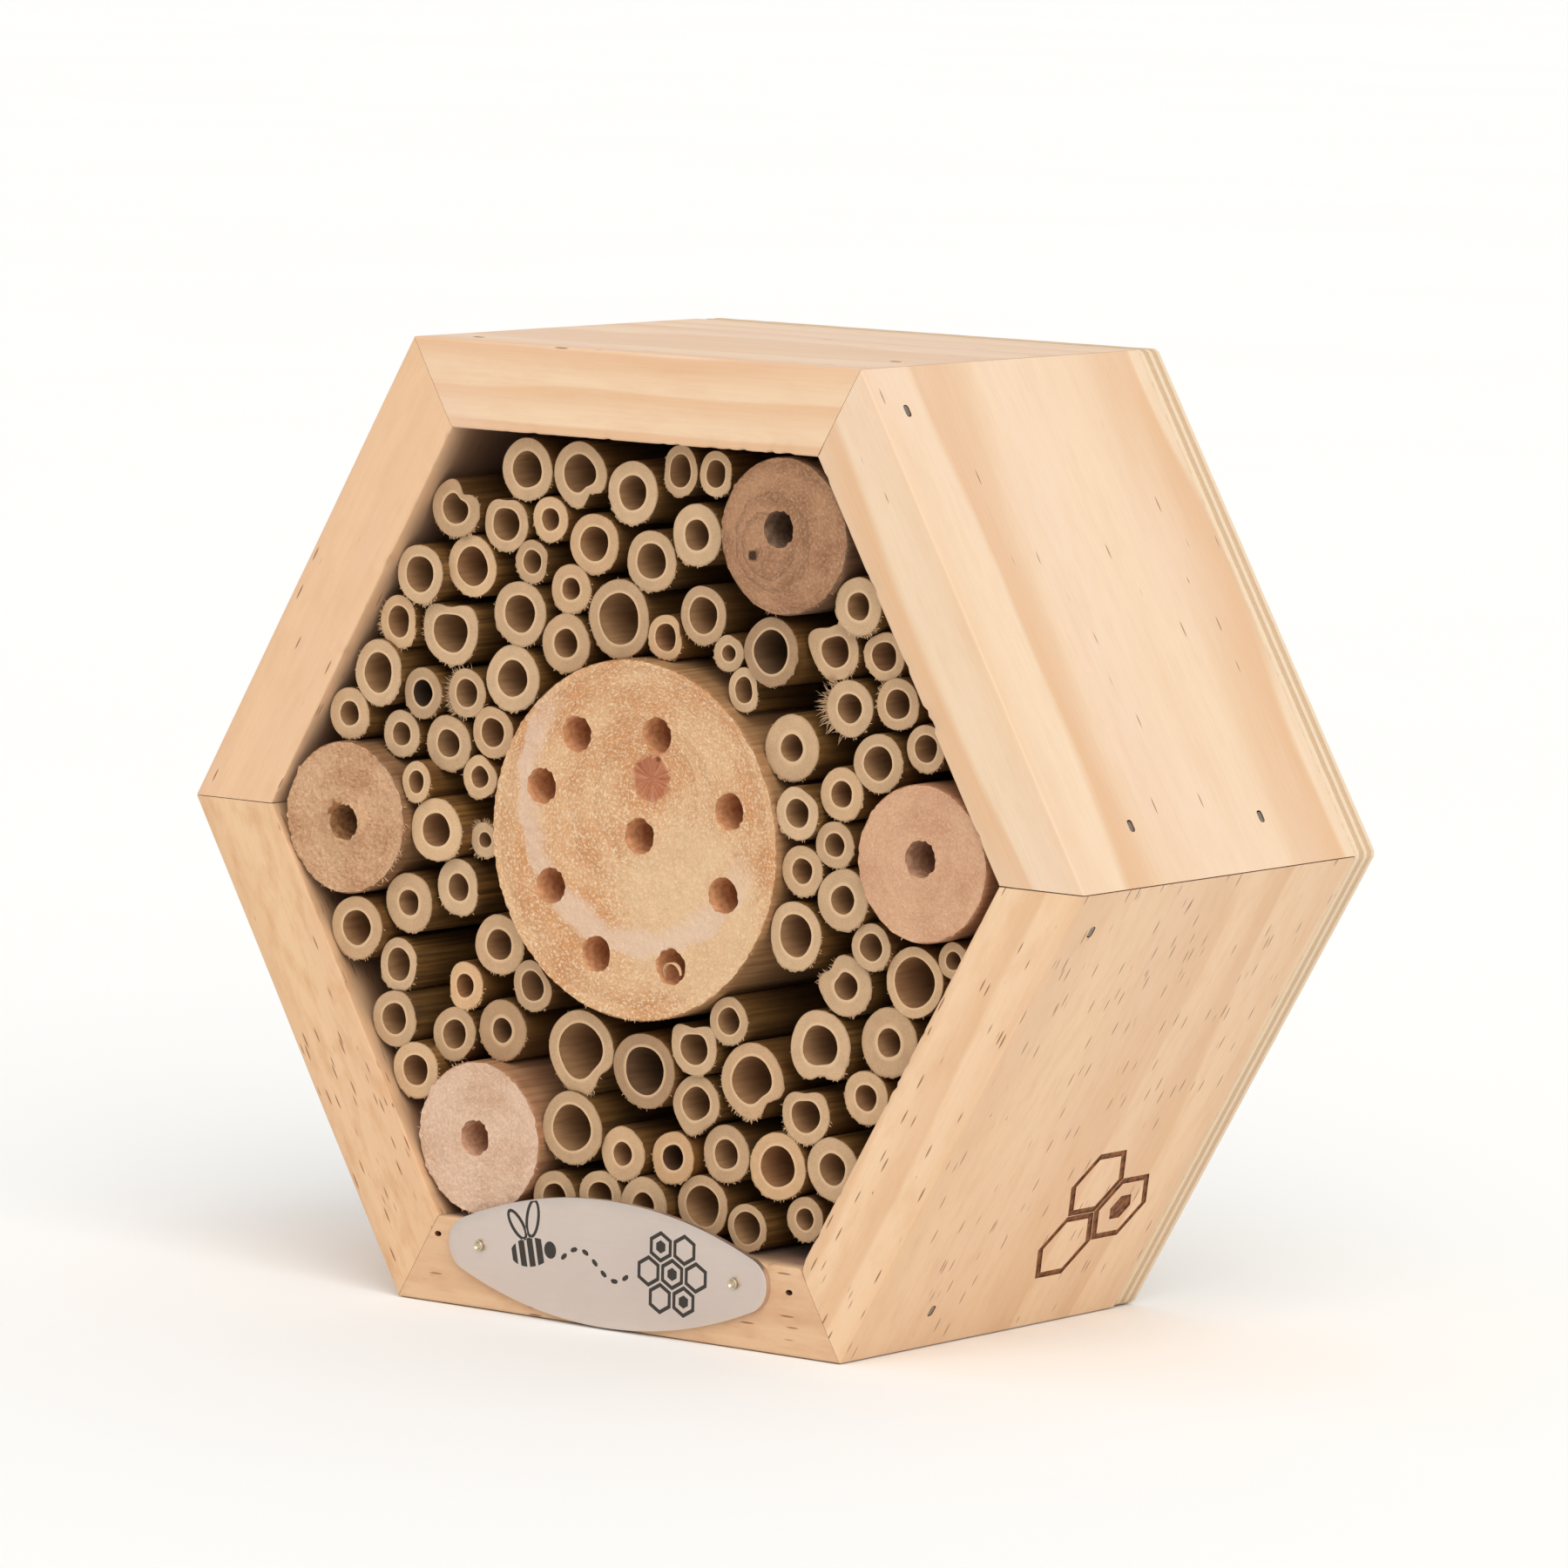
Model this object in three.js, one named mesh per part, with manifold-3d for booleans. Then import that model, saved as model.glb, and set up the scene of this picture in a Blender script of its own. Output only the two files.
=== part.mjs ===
// A hexagonal insect hotel for a garden wall or shelf.
//
// Six mitred pine boards stand on edge around a hexagon, with a plywood panel across the
// back. The box is packed with bamboo canes around one large and four small drilled logs.
// An oval steel plaque is pinned to the front of the bottom board, and a keyhole hanger
// is screwed to the back. Brads cross every mitre.
//
// Millimetres, +Z up. The front looks along -Y and +X is to the right of someone facing
// it. The origin is on the ground under the middle of the object.

import * as THREE from "three";
import { mergeVertices } from "three/addons/utils/BufferGeometryUtils.js";
import Module from "manifold-3d";

const wasm = await Module();
wasm.setup();

// ---------------------------------------------------------------- driving dimensions

const SIDE = 100; // outer side of the hexagon, so it is 200 wide over the points
const BOARD_THICKNESS = 15.7;
const BOARD_DEPTH = 82; // front to back
const PANEL_THICKNESS = 6; // plywood
const CLEARANCE = 0.3; // between any two pieces that touch on the real object

const LARGE_LOG = { diameter: 64, x: 0.7, z: 0.5, setBack: 1.5 };
const LOG_HOLE = { diameter: 6.5, depth: 50 };
// Eight holes in a ring around a middle one. They were drilled by eye, so they are uneven.
// Each is [bearing in degrees anticlockwise from +X, distance from the middle of the log].
const HOLE_RING = [
  [18, 22.6], [75, 19.7], [126, 22], [159, 22.2], [208, 20.6], [250, 22.2], [293, 23.4], [339, 22],
];
const MIDDLE_HOLE = [1.6, 0.9]; // off the middle of the log
const SMALL_LOG = { diameter: 27.6 };

const PLAQUE = { width: 72, height: 22.8, thickness: 1, tipRadius: 5, x: -1.4, z: -75 };
const PLAQUE_PIN = { shank: 1, head: 1.9, headHeight: 0.5, length: 12, spacing: 57.6 };

const BRAD = { shank: 1.2, head: 2, headHeight: 0.9, length: 28, sunk: 0.7 };
const BRAD_FROM_CORNER = BOARD_THICKNESS / 2 / Math.sin(Math.PI / 3);
const BRAD_DEPTHS = { start: 8, end: 21 }; // behind the front face, at a board's two ends

const HANGER = { width: 40, height: 14, thickness: 1.2, screwSpacing: 28 };
const KEYHOLE = { head: 7, slot: 3.6, rise: 4.5, pocket: 12.4, pocketDepth: 4.5 };
const SCREW = { shank: 2.8, head: 5.6, headHeight: 1.4, length: 14 };

const CANE_SIDES = 10;
const CANE_SET_BACK = 5; // from the front edge of the boards, unless a cane says otherwise
const CANE_GAP = 0.12; // between the rounds that two canes' ten-sided outlines stand in
const SETTLE = { passes: 1200, drift: 0.2 };
const GLUE = { width: 2.6, from: 66, to: 72 }; // the glue between canes of one bundle

// Small logs: their middles on the front, from the middle of the hexagon, the way their
// one hole is off the middle, and how far their face stands back from the front.
const SMALL_LOGS = {
  log_top_right: { ...SMALL_LOG, x: 32.8, z: 56.5, hole: [-1, 1.2], setBack: 1.5 },
  log_left: { ...SMALL_LOG, x: -65.2, z: -1.2, hole: [0.7, -0.7], setBack: 1 },
  log_right: { ...SMALL_LOG, x: 64.2, z: 2.1, hole: [-0.2, 0.9], setBack: 1.5 },
  log_bottom_left: { ...SMALL_LOG, x: -33.2, z: -56.2, hole: [-0.8, 0], setBack: 1.5 },
};

// Canes, grouped by the neighbours that are glued together. Each is its middle across and
// up from the middle of the hexagon, its outside diameter and its bore, and last how far
// its end stands back where that isn't CANE_SET_BACK.
const CANE_BUNDLES = {
  canes_top_1: [[-27.5, 64, 11.2, 6.6], [-32, 54, 10, 6.2], [-22, 55.5, 8, 4],
    [-26, 47.5, 7.8, 4.4]],
  canes_top_2: [[-15.5, 64, 11.4, 7], [-12, 51.8, 10.6, 6.2], [-17, 43.5, 8.8, 4],
    [-18, 33.8, 10.6, 5.2]],
  canes_top_3: [[-3.5, 61.5, 11.2, 6.2], [1, 49.7, 10.8, 6.4], [11, 55, 10.8, 5.4]],
  canes_top_4: [[7, 66, 8.4, 5.4], [15, 66, 7.6, 4.6]],
  canes_top_5: [[-6, 39, 13.6, 9], [4.8, 36.4, 8, 5], [12.8, 40.8, 10.2, 6.4],
    [18.5, 35, 6.6, 3]],
  canes_upper_left_1: [[-43.5, 56, 10.6, 5.8, 4], [-40.5, 46.3, 10.8, 7],
    [-51, 44.8, 10.4, 6.4, 3]],
  canes_upper_left_2: [[-56, 34, 9, 5.4, 4], [-44.5, 34, 12.2, 7.8], [-28.5, 38.5, 11.6, 6.8]],
  canes_upper_left_3: [[-60, 24.8, 11.2, 6.8, 3], [-50.2, 22.5, 8.8, 4.6, 4],
    [-66.5, 17, 9.2, 4.4, 3]],
  canes_upper_left_4: [[-40.5, 23, 8.6, 5], [-30, 26.5, 11.8, 6.6], [-34.5, 16.2, 9.2, 5.2]],
  canes_left_1: [[-55.5, 14.5, 8.4, 4.2], [-45, 13, 10, 5], [-50.3, 6, 7, 3.8, 2],
    [-37, 8.6, 7.8, 4]],
  canes_left_2: [[-45.6, -1.5, 11.4, 6.2, 3], [-37, -3, 6.4, 2.8, 6], [-41.5, -12, 10.2, 5],
    [-52.5, -15.5, 10.6, 4.6, 4]],
  canes_left_3: [[-63.5, -22, 11.4, 6.4, 2], [-54.8, -28, 9.2, 5.8, 4], [-55.5, -38, 10, 5.6, 3]],
  canes_left_4: [[-49.5, -46.5, 10.2, 5.6, 3], [-43, -39.5, 9.8, 5.4], [-40, -30, 8.6, 4.4]],
  canes_left_5: [[-31, -37.5, 10.8, 4.4], [-24, -28, 9.2, 5.6], [-32, -21.5, 10.8, 5.6]],
  cane_lower_left: [[-12, -38.5, 14.4, 10, 4]],
  cane_lower_middle: [[2.5, -40.5, 13.2, 8.6, 4]],
  cane_bottom_left: [[-13, -52.5, 13, 8.4, 3]],
  canes_bottom_1: [[-2.5, -56, 9.6, 4.2, 4], [8.5, -55.5, 9.2, 4.6]],
  canes_bottom_2: [[-17, -64.7, 9.8, 5.4, 3], [-7.5, -64, 9.2, 5.2, 4], [2.5, -64.5, 10.2, 4.8, 4]],
  canes_bottom_3: [[14.5, -63.5, 10.8, 7.2, 6], [24.5, -66.3, 8.4, 5.8, 6],
    [36.5, -63.5, 7.8, 3.8, 7]],
  canes_bottom_4: [[37, -45, 10.4, 6.4, 6], [31, -54.7, 12, 7.4, 6], [43, -53.7, 11, 5.6, 6]],
  canes_bottom_5: [[13.5, -45.5, 10.2, 6.2], [19.5, -53.7, 10.2, 5.2, 6]],
  canes_bottom_6: [[25.8, -40, 13.4, 8.8], [20.8, -29.5, 8.4, 4.8, 4], [13.5, -35.2, 10, 6.2, 4]],
  canes_lower_right_1: [[40.5, -32.5, 12.8, 7.6], [55.6, -30, 12, 5], [50.8, -40.3, 9.4, 4.6]],
  canes_lower_right_2: [[61, -19, 12.2, 8.8], [68.3, -14, 6.4, 3.2]],
  canes_lower_right_3: [[36, -13, 11.4, 7.2, 3], [51.5, -13.5, 8.2, 4.8, 4], [46, -21, 10.8, 5]],
  canes_right_1: [[44.3, 3.5, 8.2, 4.2, 3], [37, -2, 8.8, 4.4, 3], [45.8, -6, 10.8, 5, 3]],
  canes_right_2: [[53.3, 18.5, 10.2, 6, 3], [45.6, 12.5, 9.2, 4.6, 3], [36.5, 8.5, 9.4, 5.2, 2]],
  canes_right_3: [[29, 35.5, 11.8, 7.6, 3], [22.5, 28, 7.4, 4.4, 4], [33.4, 19.3, 11.6, 4.8, 4]],
  canes_upper_right_1: [[48, 45.3, 10, 4.8, 3], [42, 37, 10, 5.8], [52.4, 37.4, 8.6, 5.2],
    [45.4, 27.3, 10, 5.2], [56.5, 29, 9, 5.2, 4], [62.8, 21.8, 8.2, 4.8, 4]],
};

// ---------------------------------------------------------------- worked out from those

const APOTHEM = (SIDE * Math.sqrt(3)) / 2; // middle of the hexagon to the middle of a side
const OPENING = APOTHEM - BOARD_THICKNESS; // the same, to the inside of a board
const PANEL_FRONT = BOARD_DEPTH + CLEARANCE;
const PANEL_BACK = PANEL_FRONT + PANEL_THICKNESS;
const PLAQUE_FRONT = -CLEARANCE - PLAQUE.thickness;
const PIN_FRONT = PLAQUE_FRONT - CLEARANCE - PLAQUE_PIN.headHeight;
const HANGER_BACK = PANEL_BACK + CLEARANCE + HANGER.thickness;
const SCREW_BACK = HANGER_BACK + CLEARANCE + SCREW.headHeight;
const HANGER_Z = APOTHEM - BOARD_THICKNESS / 2;

// ---------------------------------------------------------------- materials

const finish = (color, roughness, metalness = 0) =>
  new THREE.MeshStandardMaterial({ color, roughness, metalness });

const PINE = finish(0xecc796, 0.7);
const PLYWOOD = finish(0xe3c79c, 0.75);
const LOG_WOOD = finish(0xe0a977, 0.9);
const BAMBOO = finish(0xc9b48e, 0.6);
const STEEL = finish(0xc4bbb4, 0.35, 1);
const BRASS = finish(0xb79a63, 0.35, 1);
const ZINC = finish(0xa9adb0, 0.45, 1);

// ---------------------------------------------------------------- joining and cutting

function solid(geometry) {
  const bare = geometry.clone();
  for (const name of Object.keys(bare.attributes)) {
    if (name !== "position") bare.deleteAttribute(name);
  }
  const merged = mergeVertices(bare, 1e-4);
  return new wasm.Manifold(
    new wasm.Mesh({
      numProp: 3,
      vertProperties: merged.attributes.position.array,
      triVerts: new Uint32Array(merged.index.array),
    }),
  );
}

function geometryOf(manifold) {
  const mesh = manifold.getMesh();
  return new THREE.BufferGeometry()
    .setAttribute("position", new THREE.BufferAttribute(mesh.vertProperties, 3))
    .setIndex(new THREE.BufferAttribute(mesh.triVerts, 1));
}

function cut(geometry, tools) {
  const whole = tools.reduce((left, tool) => left.subtract(solid(tool)), solid(geometry));
  return geometryOf(whole);
}

function join(geometries) {
  return geometryOf(geometries.map(solid).reduce((sum, next) => sum.add(next)));
}

// ---------------------------------------------------------------- shapes

// An outline in X and Z, drawn out along +Y from one depth to another.
function slab(outline, from, to, holes = []) {
  outline.holes.push(...holes);
  return new THREE.ExtrudeGeometry(outline, { depth: to - from, bevelEnabled: false, curveSegments: 8 })
    .rotateX(Math.PI / 2)
    .translate(0, to, 0);
}

// A round bar along +Y.
function bar(diameter, from, to, x, z, sides) {
  return new THREE.CylinderGeometry(diameter / 2, diameter / 2, to - from, sides)
    .translate(x, (from + to) / 2, z);
}

function circle(diameter, x, z, sides) {
  const path = new THREE.Path();
  for (let i = 0; i < sides; i += 1) {
    const angle = (i / sides) * 2 * Math.PI;
    const at = [x + (Math.cos(angle) * diameter) / 2, z + (Math.sin(angle) * diameter) / 2];
    if (i) path.lineTo(...at);
    else path.moveTo(...at);
  }
  path.closePath();
  return path;
}

const outlineOf = (path) => new THREE.Shape(path.getPoints());

// A headed fastener turned on its axis: the top of its head at the origin, its point
// along -Y.
function fastener({ shank, head, headHeight, length }, sides) {
  const profile = [
    [0, -length],
    [shank / 2, -length + shank],
    [shank / 2, -headHeight],
    [head / 2, -headHeight],
    [head / 2, 0],
    [0, 0],
  ];
  return new THREE.LatheGeometry(profile.map(([r, y]) => new THREE.Vector2(r, y)), sides);
}

// The space that a fastener needs in the pieces around it: CLEARANCE all over.
function fastenerSpace({ shank, head, headHeight, length }, above, sides) {
  const r = shank / 2 + CLEARANCE;
  const seat = -headHeight - CLEARANCE;
  const wide = head / 2 + CLEARANCE;
  const profile = [
    [0, -length - CLEARANCE],
    [r, -length - CLEARANCE],
    [r, seat],
    [wide, seat],
    [wide, above],
    [0, above],
  ];
  return new THREE.LatheGeometry(profile.map(([x, y]) => new THREE.Vector2(x, y)), sides);
}

// ---------------------------------------------------------------- boards, mitres, brads

// Side k of the hexagon, clockwise from the top as seen from the front. Its board is drawn
// at the top and turned into place.
const SIDES = ["top", "upper_right", "lower_right", "bottom", "lower_left", "upper_left"];
const turn = (k) => new THREE.Matrix4().makeRotationY((k * Math.PI) / 3);

function boardBlank() {
  const gap = CLEARANCE / 2 / Math.cos(Math.PI / 6);
  const half = (z) => z * Math.tan(Math.PI / 6) - gap;
  const outline = new THREE.Shape([
    new THREE.Vector2(-half(APOTHEM), APOTHEM),
    new THREE.Vector2(-half(OPENING), OPENING),
    new THREE.Vector2(half(OPENING), OPENING),
    new THREE.Vector2(half(APOTHEM), APOTHEM),
  ]);
  return slab(outline, 0, BOARD_DEPTH);
}

// A brad goes in through one board's outer face beside the corner, and runs up the middle
// of its neighbour's thickness. +1 is the end at +X of the board drawn at the top.
function bradPlace(end, sunk) {
  const lean = new THREE.Matrix4().makeRotationY((end * Math.PI) / 6);
  const down = new THREE.Matrix4().makeRotationX(Math.PI / 2);
  const x = end * (SIDE / 2 - BRAD_FROM_CORNER);
  const y = end < 0 ? BRAD_DEPTHS.start : BRAD_DEPTHS.end;
  const inwards = new THREE.Vector3(end * Math.sin(Math.PI / 6), 0, -Math.cos(Math.PI / 6));
  const at = new THREE.Vector3(x, y, APOTHEM).addScaledVector(inwards, sunk);
  return new THREE.Matrix4()
    .makeTranslation(at.x, at.y, at.z)
    .multiply(lean.invert())
    .multiply(down);
}

function bradSpace(k, end) {
  return fastenerSpace(BRAD, BRAD.sunk + 3, 8)
    .applyMatrix4(bradPlace(end, BRAD.sunk))
    .applyMatrix4(turn(k));
}

function brad(k, end) {
  return fastener(BRAD, 8).applyMatrix4(bradPlace(end, BRAD.sunk)).applyMatrix4(turn(k));
}

function board(k) {
  const before = (k + 5) % 6;
  const after = (k + 1) % 6;
  const spaces = [bradSpace(k, -1), bradSpace(k, 1), bradSpace(before, 1), bradSpace(after, -1)];
  if (SIDES[k] === "bottom") spaces.push(...[-1, 1].map(pinSpace));
  if (SIDES[k] === "top") spaces.push(...[-1, 1].map(screwSpace));
  return cut(boardBlank().applyMatrix4(turn(k)), spaces);
}

// ---------------------------------------------------------------- back panel and hanger

const towardsFront = new THREE.Matrix4().makeRotationX(Math.PI);

function screwPlace(end) {
  return new THREE.Matrix4()
    .makeTranslation((end * HANGER.screwSpacing) / 2, SCREW_BACK, HANGER_Z);
}

function screw(end) {
  return fastener(SCREW, 12).applyMatrix4(screwPlace(end));
}

function screwSpace(end) {
  return fastenerSpace(SCREW, 1, 12).applyMatrix4(screwPlace(end));
}

function backPanel() {
  const hexagon = circle(2 * SIDE, 0, 0, 6);
  const blank = slab(outlineOf(hexagon), PANEL_FRONT, PANEL_BACK);
  const pocket = bar(KEYHOLE.pocket, PANEL_BACK - KEYHOLE.pocketDepth, PANEL_BACK + 1, 0, HANGER_Z, 8);
  return cut(blank, [pocket, screwSpace(-1), screwSpace(1)]);
}

function keyhole() {
  const slot = KEYHOLE.slot / 2;
  const round = KEYHOLE.head / 2;
  const low = HANGER_Z - KEYHOLE.rise / 2;
  const high = HANGER_Z + KEYHOLE.rise / 2;
  const corner = Math.asin(slot / round);
  const path = new THREE.Path();
  path.absarc(0, low, round, Math.PI / 2 + corner, Math.PI / 2 - corner + 2 * Math.PI, false);
  path.absarc(0, high, slot, 0, Math.PI, false);
  path.closePath();
  return path;
}

function hangerPlate() {
  const round = HANGER.height / 2;
  const half = HANGER.width / 2 - round;
  const outline = new THREE.Shape();
  outline.absarc(half, HANGER_Z, round, -Math.PI / 2, Math.PI / 2, false);
  outline.absarc(-half, HANGER_Z, round, Math.PI / 2, (3 * Math.PI) / 2, false);
  outline.closePath();
  const front = PANEL_BACK + CLEARANCE;
  const plate = slab(outline, front, HANGER_BACK, [keyhole()]);
  return cut(plate, [-1, 1].map((end) => bar(SCREW.shank + 2 * CLEARANCE, front - 1,
    HANGER_BACK + 1, (end * HANGER.screwSpacing) / 2, HANGER_Z, 12)));
}

// ---------------------------------------------------------------- plaque and its pins

// A pointed oval: two wide arcs that run into a small round tip at each end.
function plaqueOutline() {
  const { width, height, tipRadius: tip } = PLAQUE;
  const reach = width / 2 - tip;
  const wide = (reach * reach + (height * height) / 4 - tip * tip) / (height - 2 * tip);
  const below = wide - height / 2;
  const edge = Math.atan2(below, reach);
  const outline = new THREE.Shape();
  outline.absarc(PLAQUE.x, PLAQUE.z - below, wide, edge, Math.PI - edge, false);
  outline.absarc(PLAQUE.x - reach, PLAQUE.z, tip, Math.PI - edge, Math.PI + edge, false);
  outline.absarc(PLAQUE.x, PLAQUE.z + below, wide, Math.PI + edge, 2 * Math.PI - edge, false);
  outline.absarc(PLAQUE.x + reach, PLAQUE.z, tip, -edge, edge, false);
  outline.closePath();
  return outline;
}

const pinX = (end) => PLAQUE.x + (end * PLAQUE_PIN.spacing) / 2;

function pinPlace(end) {
  return new THREE.Matrix4().makeTranslation(pinX(end), PIN_FRONT, PLAQUE.z).multiply(towardsFront);
}

function pin(end) {
  return fastener(PLAQUE_PIN, 10).applyMatrix4(pinPlace(end));
}

function pinSpace(end) {
  return fastenerSpace(PLAQUE_PIN, 1, 10).applyMatrix4(pinPlace(end));
}

function plaque() {
  const plate = slab(plaqueOutline(), PLAQUE_FRONT, -CLEARANCE);
  const hole = PLAQUE_PIN.shank + 2 * CLEARANCE;
  return cut(plate, [-1, 1].map((end) => bar(hole, PLAQUE_FRONT - 1, 1, pinX(end), PLAQUE.z, 10)));
}

// ---------------------------------------------------------------- logs

function drilledLog({ diameter, x, z, setBack }, holes, sides) {
  const log = bar(diameter, setBack, BOARD_DEPTH, x, z, sides);
  const { diameter: bore, depth } = LOG_HOLE;
  return cut(log, holes.map(([across, up]) =>
    bar(bore, setBack - 1, setBack + depth, x + across, z + up, 12)));
}

function largeLogHoles() {
  const ring = HOLE_RING.map(([bearing, distance]) => {
    const angle = THREE.MathUtils.degToRad(bearing);
    return [distance * Math.cos(angle), distance * Math.sin(angle)];
  });
  return [MIDDLE_HOLE, ...ring];
}

// ---------------------------------------------------------------- canes

function readCane([x, z, outside, bore, setBack = CANE_SET_BACK]) {
  return { x, z, outside, bore, setBack, radius: outside / 2 };
}

// Canes laid in a box settle against each other. Each pass lets every cane drift back
// towards where it was laid, then pushes touching canes apart, and off the logs and the
// boards. The last passes only push.
function settle(canes) {
  const laid = canes.map(({ x, z }) => ({ x, z }));
  const logs = [LARGE_LOG, ...Object.values(SMALL_LOGS)];
  for (let pass = 0; pass < SETTLE.passes; pass += 1) {
    const drift = SETTLE.drift * Math.max(0, 1 - (2 * pass) / SETTLE.passes);
    canes.forEach((a, i) => {
      a.x += drift * (laid[i].x - a.x);
      a.z += drift * (laid[i].z - a.z);
    });
    canes.forEach((a, i) => {
      for (const b of canes.slice(i + 1)) part(a, b, a.radius + b.radius + CANE_GAP, 0.5);
      for (const log of logs) part(a, log, a.radius + log.diameter / 2 + CLEARANCE, 0);
      for (let k = 0; k < 6; k += 1) {
        const across = Math.sin((k * Math.PI) / 3);
        const up = Math.cos((k * Math.PI) / 3);
        const over = Math.max(0, a.x * across + a.z * up + a.radius + CLEARANCE - OPENING);
        a.x -= over * across;
        a.z -= over * up;
      }
    });
  }
}

// Moves two round pieces along the line between them until they are the wanted distance
// apart. The second takes the given share of the move.
function part(a, b, wanted, share) {
  const span = Math.hypot(b.x - a.x, b.z - a.z);
  const away = Math.max(0, wanted - span);
  const across = (b.x - a.x) / span;
  const up = (b.z - a.z) / span;
  a.x -= across * away * (1 - share);
  a.z -= up * away * (1 - share);
  b.x += across * away * share;
  b.z += up * away * share;
}

function cane({ x, z, outside, bore, setBack }) {
  const ring = outlineOf(circle(outside, x, z, CANE_SIDES));
  return slab(ring, setBack, BOARD_DEPTH, [circle(bore, x, z, CANE_SIDES)]);
}

// A short bar of glue from the wall of one cane to the wall of the next, near the back.
function glue(a, b) {
  const span = Math.hypot(b.x - a.x, b.z - a.z);
  const from = (a.outside + a.bore) / 4;
  const to = span - (b.outside + b.bore) / 4;
  const turned = Math.atan2(b.z - a.z, b.x - a.x);
  return new THREE.BoxGeometry(to - from, GLUE.to - GLUE.from, GLUE.width)
    .translate((from + to) / 2, 0, 0)
    .rotateY(-turned)
    .translate(a.x, (GLUE.from + GLUE.to) / 2, a.z);
}

// Each cane after the first is glued to the nearest cane before it.
function caneBundle(canes) {
  const pieces = canes.map(cane);
  canes.slice(1).forEach((next, i) => {
    const gap = (other) => Math.hypot(other.x - next.x, other.z - next.z) - other.radius;
    const nearest = canes.slice(0, i + 1).reduce((a, b) => (gap(b) < gap(a) ? b : a));
    pieces.push(glue(nearest, next));
  });
  return join(pieces);
}

// ---------------------------------------------------------------- the object

const hotel = new THREE.Group();
hotel.position.set(0, -(PIN_FRONT + SCREW_BACK) / 2, APOTHEM);

function add(name, geometry, material) {
  const mesh = new THREE.Mesh(geometry, material);
  mesh.name = name;
  hotel.add(mesh);
}

SIDES.forEach((side, k) => add(`board_${side}`, board(k), PINE));
SIDES.forEach((side, k) => {
  const next = SIDES[(k + 1) % 6];
  const before = SIDES[(k + 5) % 6];
  add(`brad_${side}_into_${next}`, brad(k, 1), ZINC);
  add(`brad_${side}_into_${before}`, brad(k, -1), ZINC);
});
add("back_panel", backPanel(), PLYWOOD);
add("hanger_plate", hangerPlate(), ZINC);
add("hanger_screw_left", screw(-1), ZINC);
add("hanger_screw_right", screw(1), ZINC);
add("plaque", plaque(), STEEL);
add("plaque_pin_left", pin(-1), BRASS);
add("plaque_pin_right", pin(1), BRASS);

add("log_large", drilledLog(LARGE_LOG, largeLogHoles(), 36), LOG_WOOD);
for (const [name, log] of Object.entries(SMALL_LOGS)) {
  add(name, drilledLog(log, [log.hole], 24), LOG_WOOD);
}

const bundles = Object.entries(CANE_BUNDLES).map(([name, rows]) => [name, rows.map(readCane)]);
settle(bundles.flatMap(([, canes]) => canes));
for (const [name, canes] of bundles) add(name, caneBundle(canes), BAMBOO);

export default hotel;
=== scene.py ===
# %% [markdown]
# # A hexagonal insect hotel
#
# Solitary bees nest in narrow tunnels. This hotel gives them some: a box of six mitred
# pine boards with a plywood back, packed with sawn bamboo and with drilled logs. Nearly
# everything here is wood, so most of the work goes into telling one kind of wood from
# another: planed, sawn across the grain, peeled, or split.
#
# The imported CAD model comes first. It fixes every size and place. The cells below build a
# finer piece over each of its nodes.

import math

import bmesh
import bpy
import numpy as np
from mathutils import Matrix, Vector, noise
from mathutils.geometry import delaunay_2d_cdt


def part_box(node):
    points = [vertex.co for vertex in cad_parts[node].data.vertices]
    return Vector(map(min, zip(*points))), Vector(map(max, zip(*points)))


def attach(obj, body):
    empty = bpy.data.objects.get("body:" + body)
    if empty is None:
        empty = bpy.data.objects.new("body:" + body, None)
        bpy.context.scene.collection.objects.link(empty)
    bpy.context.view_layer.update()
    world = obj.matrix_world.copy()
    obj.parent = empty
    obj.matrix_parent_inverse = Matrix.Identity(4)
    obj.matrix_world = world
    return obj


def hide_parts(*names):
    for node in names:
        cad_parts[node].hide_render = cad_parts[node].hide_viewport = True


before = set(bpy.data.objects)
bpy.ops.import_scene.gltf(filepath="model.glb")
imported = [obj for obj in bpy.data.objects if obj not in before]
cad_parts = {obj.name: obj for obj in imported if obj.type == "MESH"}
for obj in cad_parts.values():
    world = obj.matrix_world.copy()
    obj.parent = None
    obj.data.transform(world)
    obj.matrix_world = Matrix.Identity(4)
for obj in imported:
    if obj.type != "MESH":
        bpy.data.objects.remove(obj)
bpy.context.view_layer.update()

# %% [markdown]
# Blender works in metres and a maker in millimetres, so every size below is in
# millimetres and `MM` turns it into metres when a mesh is made. The hexagon's measures are
# read from the boxes of two nodes, so they follow the CAD if it changes.

# %% Measure the box
MM = 0.001


def points_of(node):
    """A CAD node's points, in millimetres."""
    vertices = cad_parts[node].data.vertices
    found = np.empty(3 * len(vertices), np.float32)
    vertices.foreach_get("co", found)
    return found.reshape(-1, 3).astype(float) / MM


def span_of(node):
    """A CAD node's lowest and highest corners, in millimetres."""
    low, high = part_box(node)
    return np.array(low) / MM, np.array(high) / MM


panel_low, panel_high = span_of("back_panel")
board_low, board_high = span_of("board_top")
APOTHEM = (panel_high[2] - panel_low[2]) / 2
SIDE = 2 * APOTHEM / math.sqrt(3)
CENTRE = np.array([0, 0, panel_low[2] + APOTHEM])
FRONT = board_low[1]
DEPTH = board_high[1] - FRONT
THICKNESS = board_high[2] - board_low[2]
print(f"side {SIDE:.1f}, boards {THICKNESS:.1f} thick and {DEPTH:.1f} deep")

# %% [markdown]
# A mesh is only vertices and faces. These helpers make the three shapes that wood and
# wire come in: a loft through rings of points, a flat sheet of small triangles with holes
# in it, and a piece with something cut out of it. `piece` turns the result into an object.
# Its normals are worked out again, so no maker has to think about which way a face winds.

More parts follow.
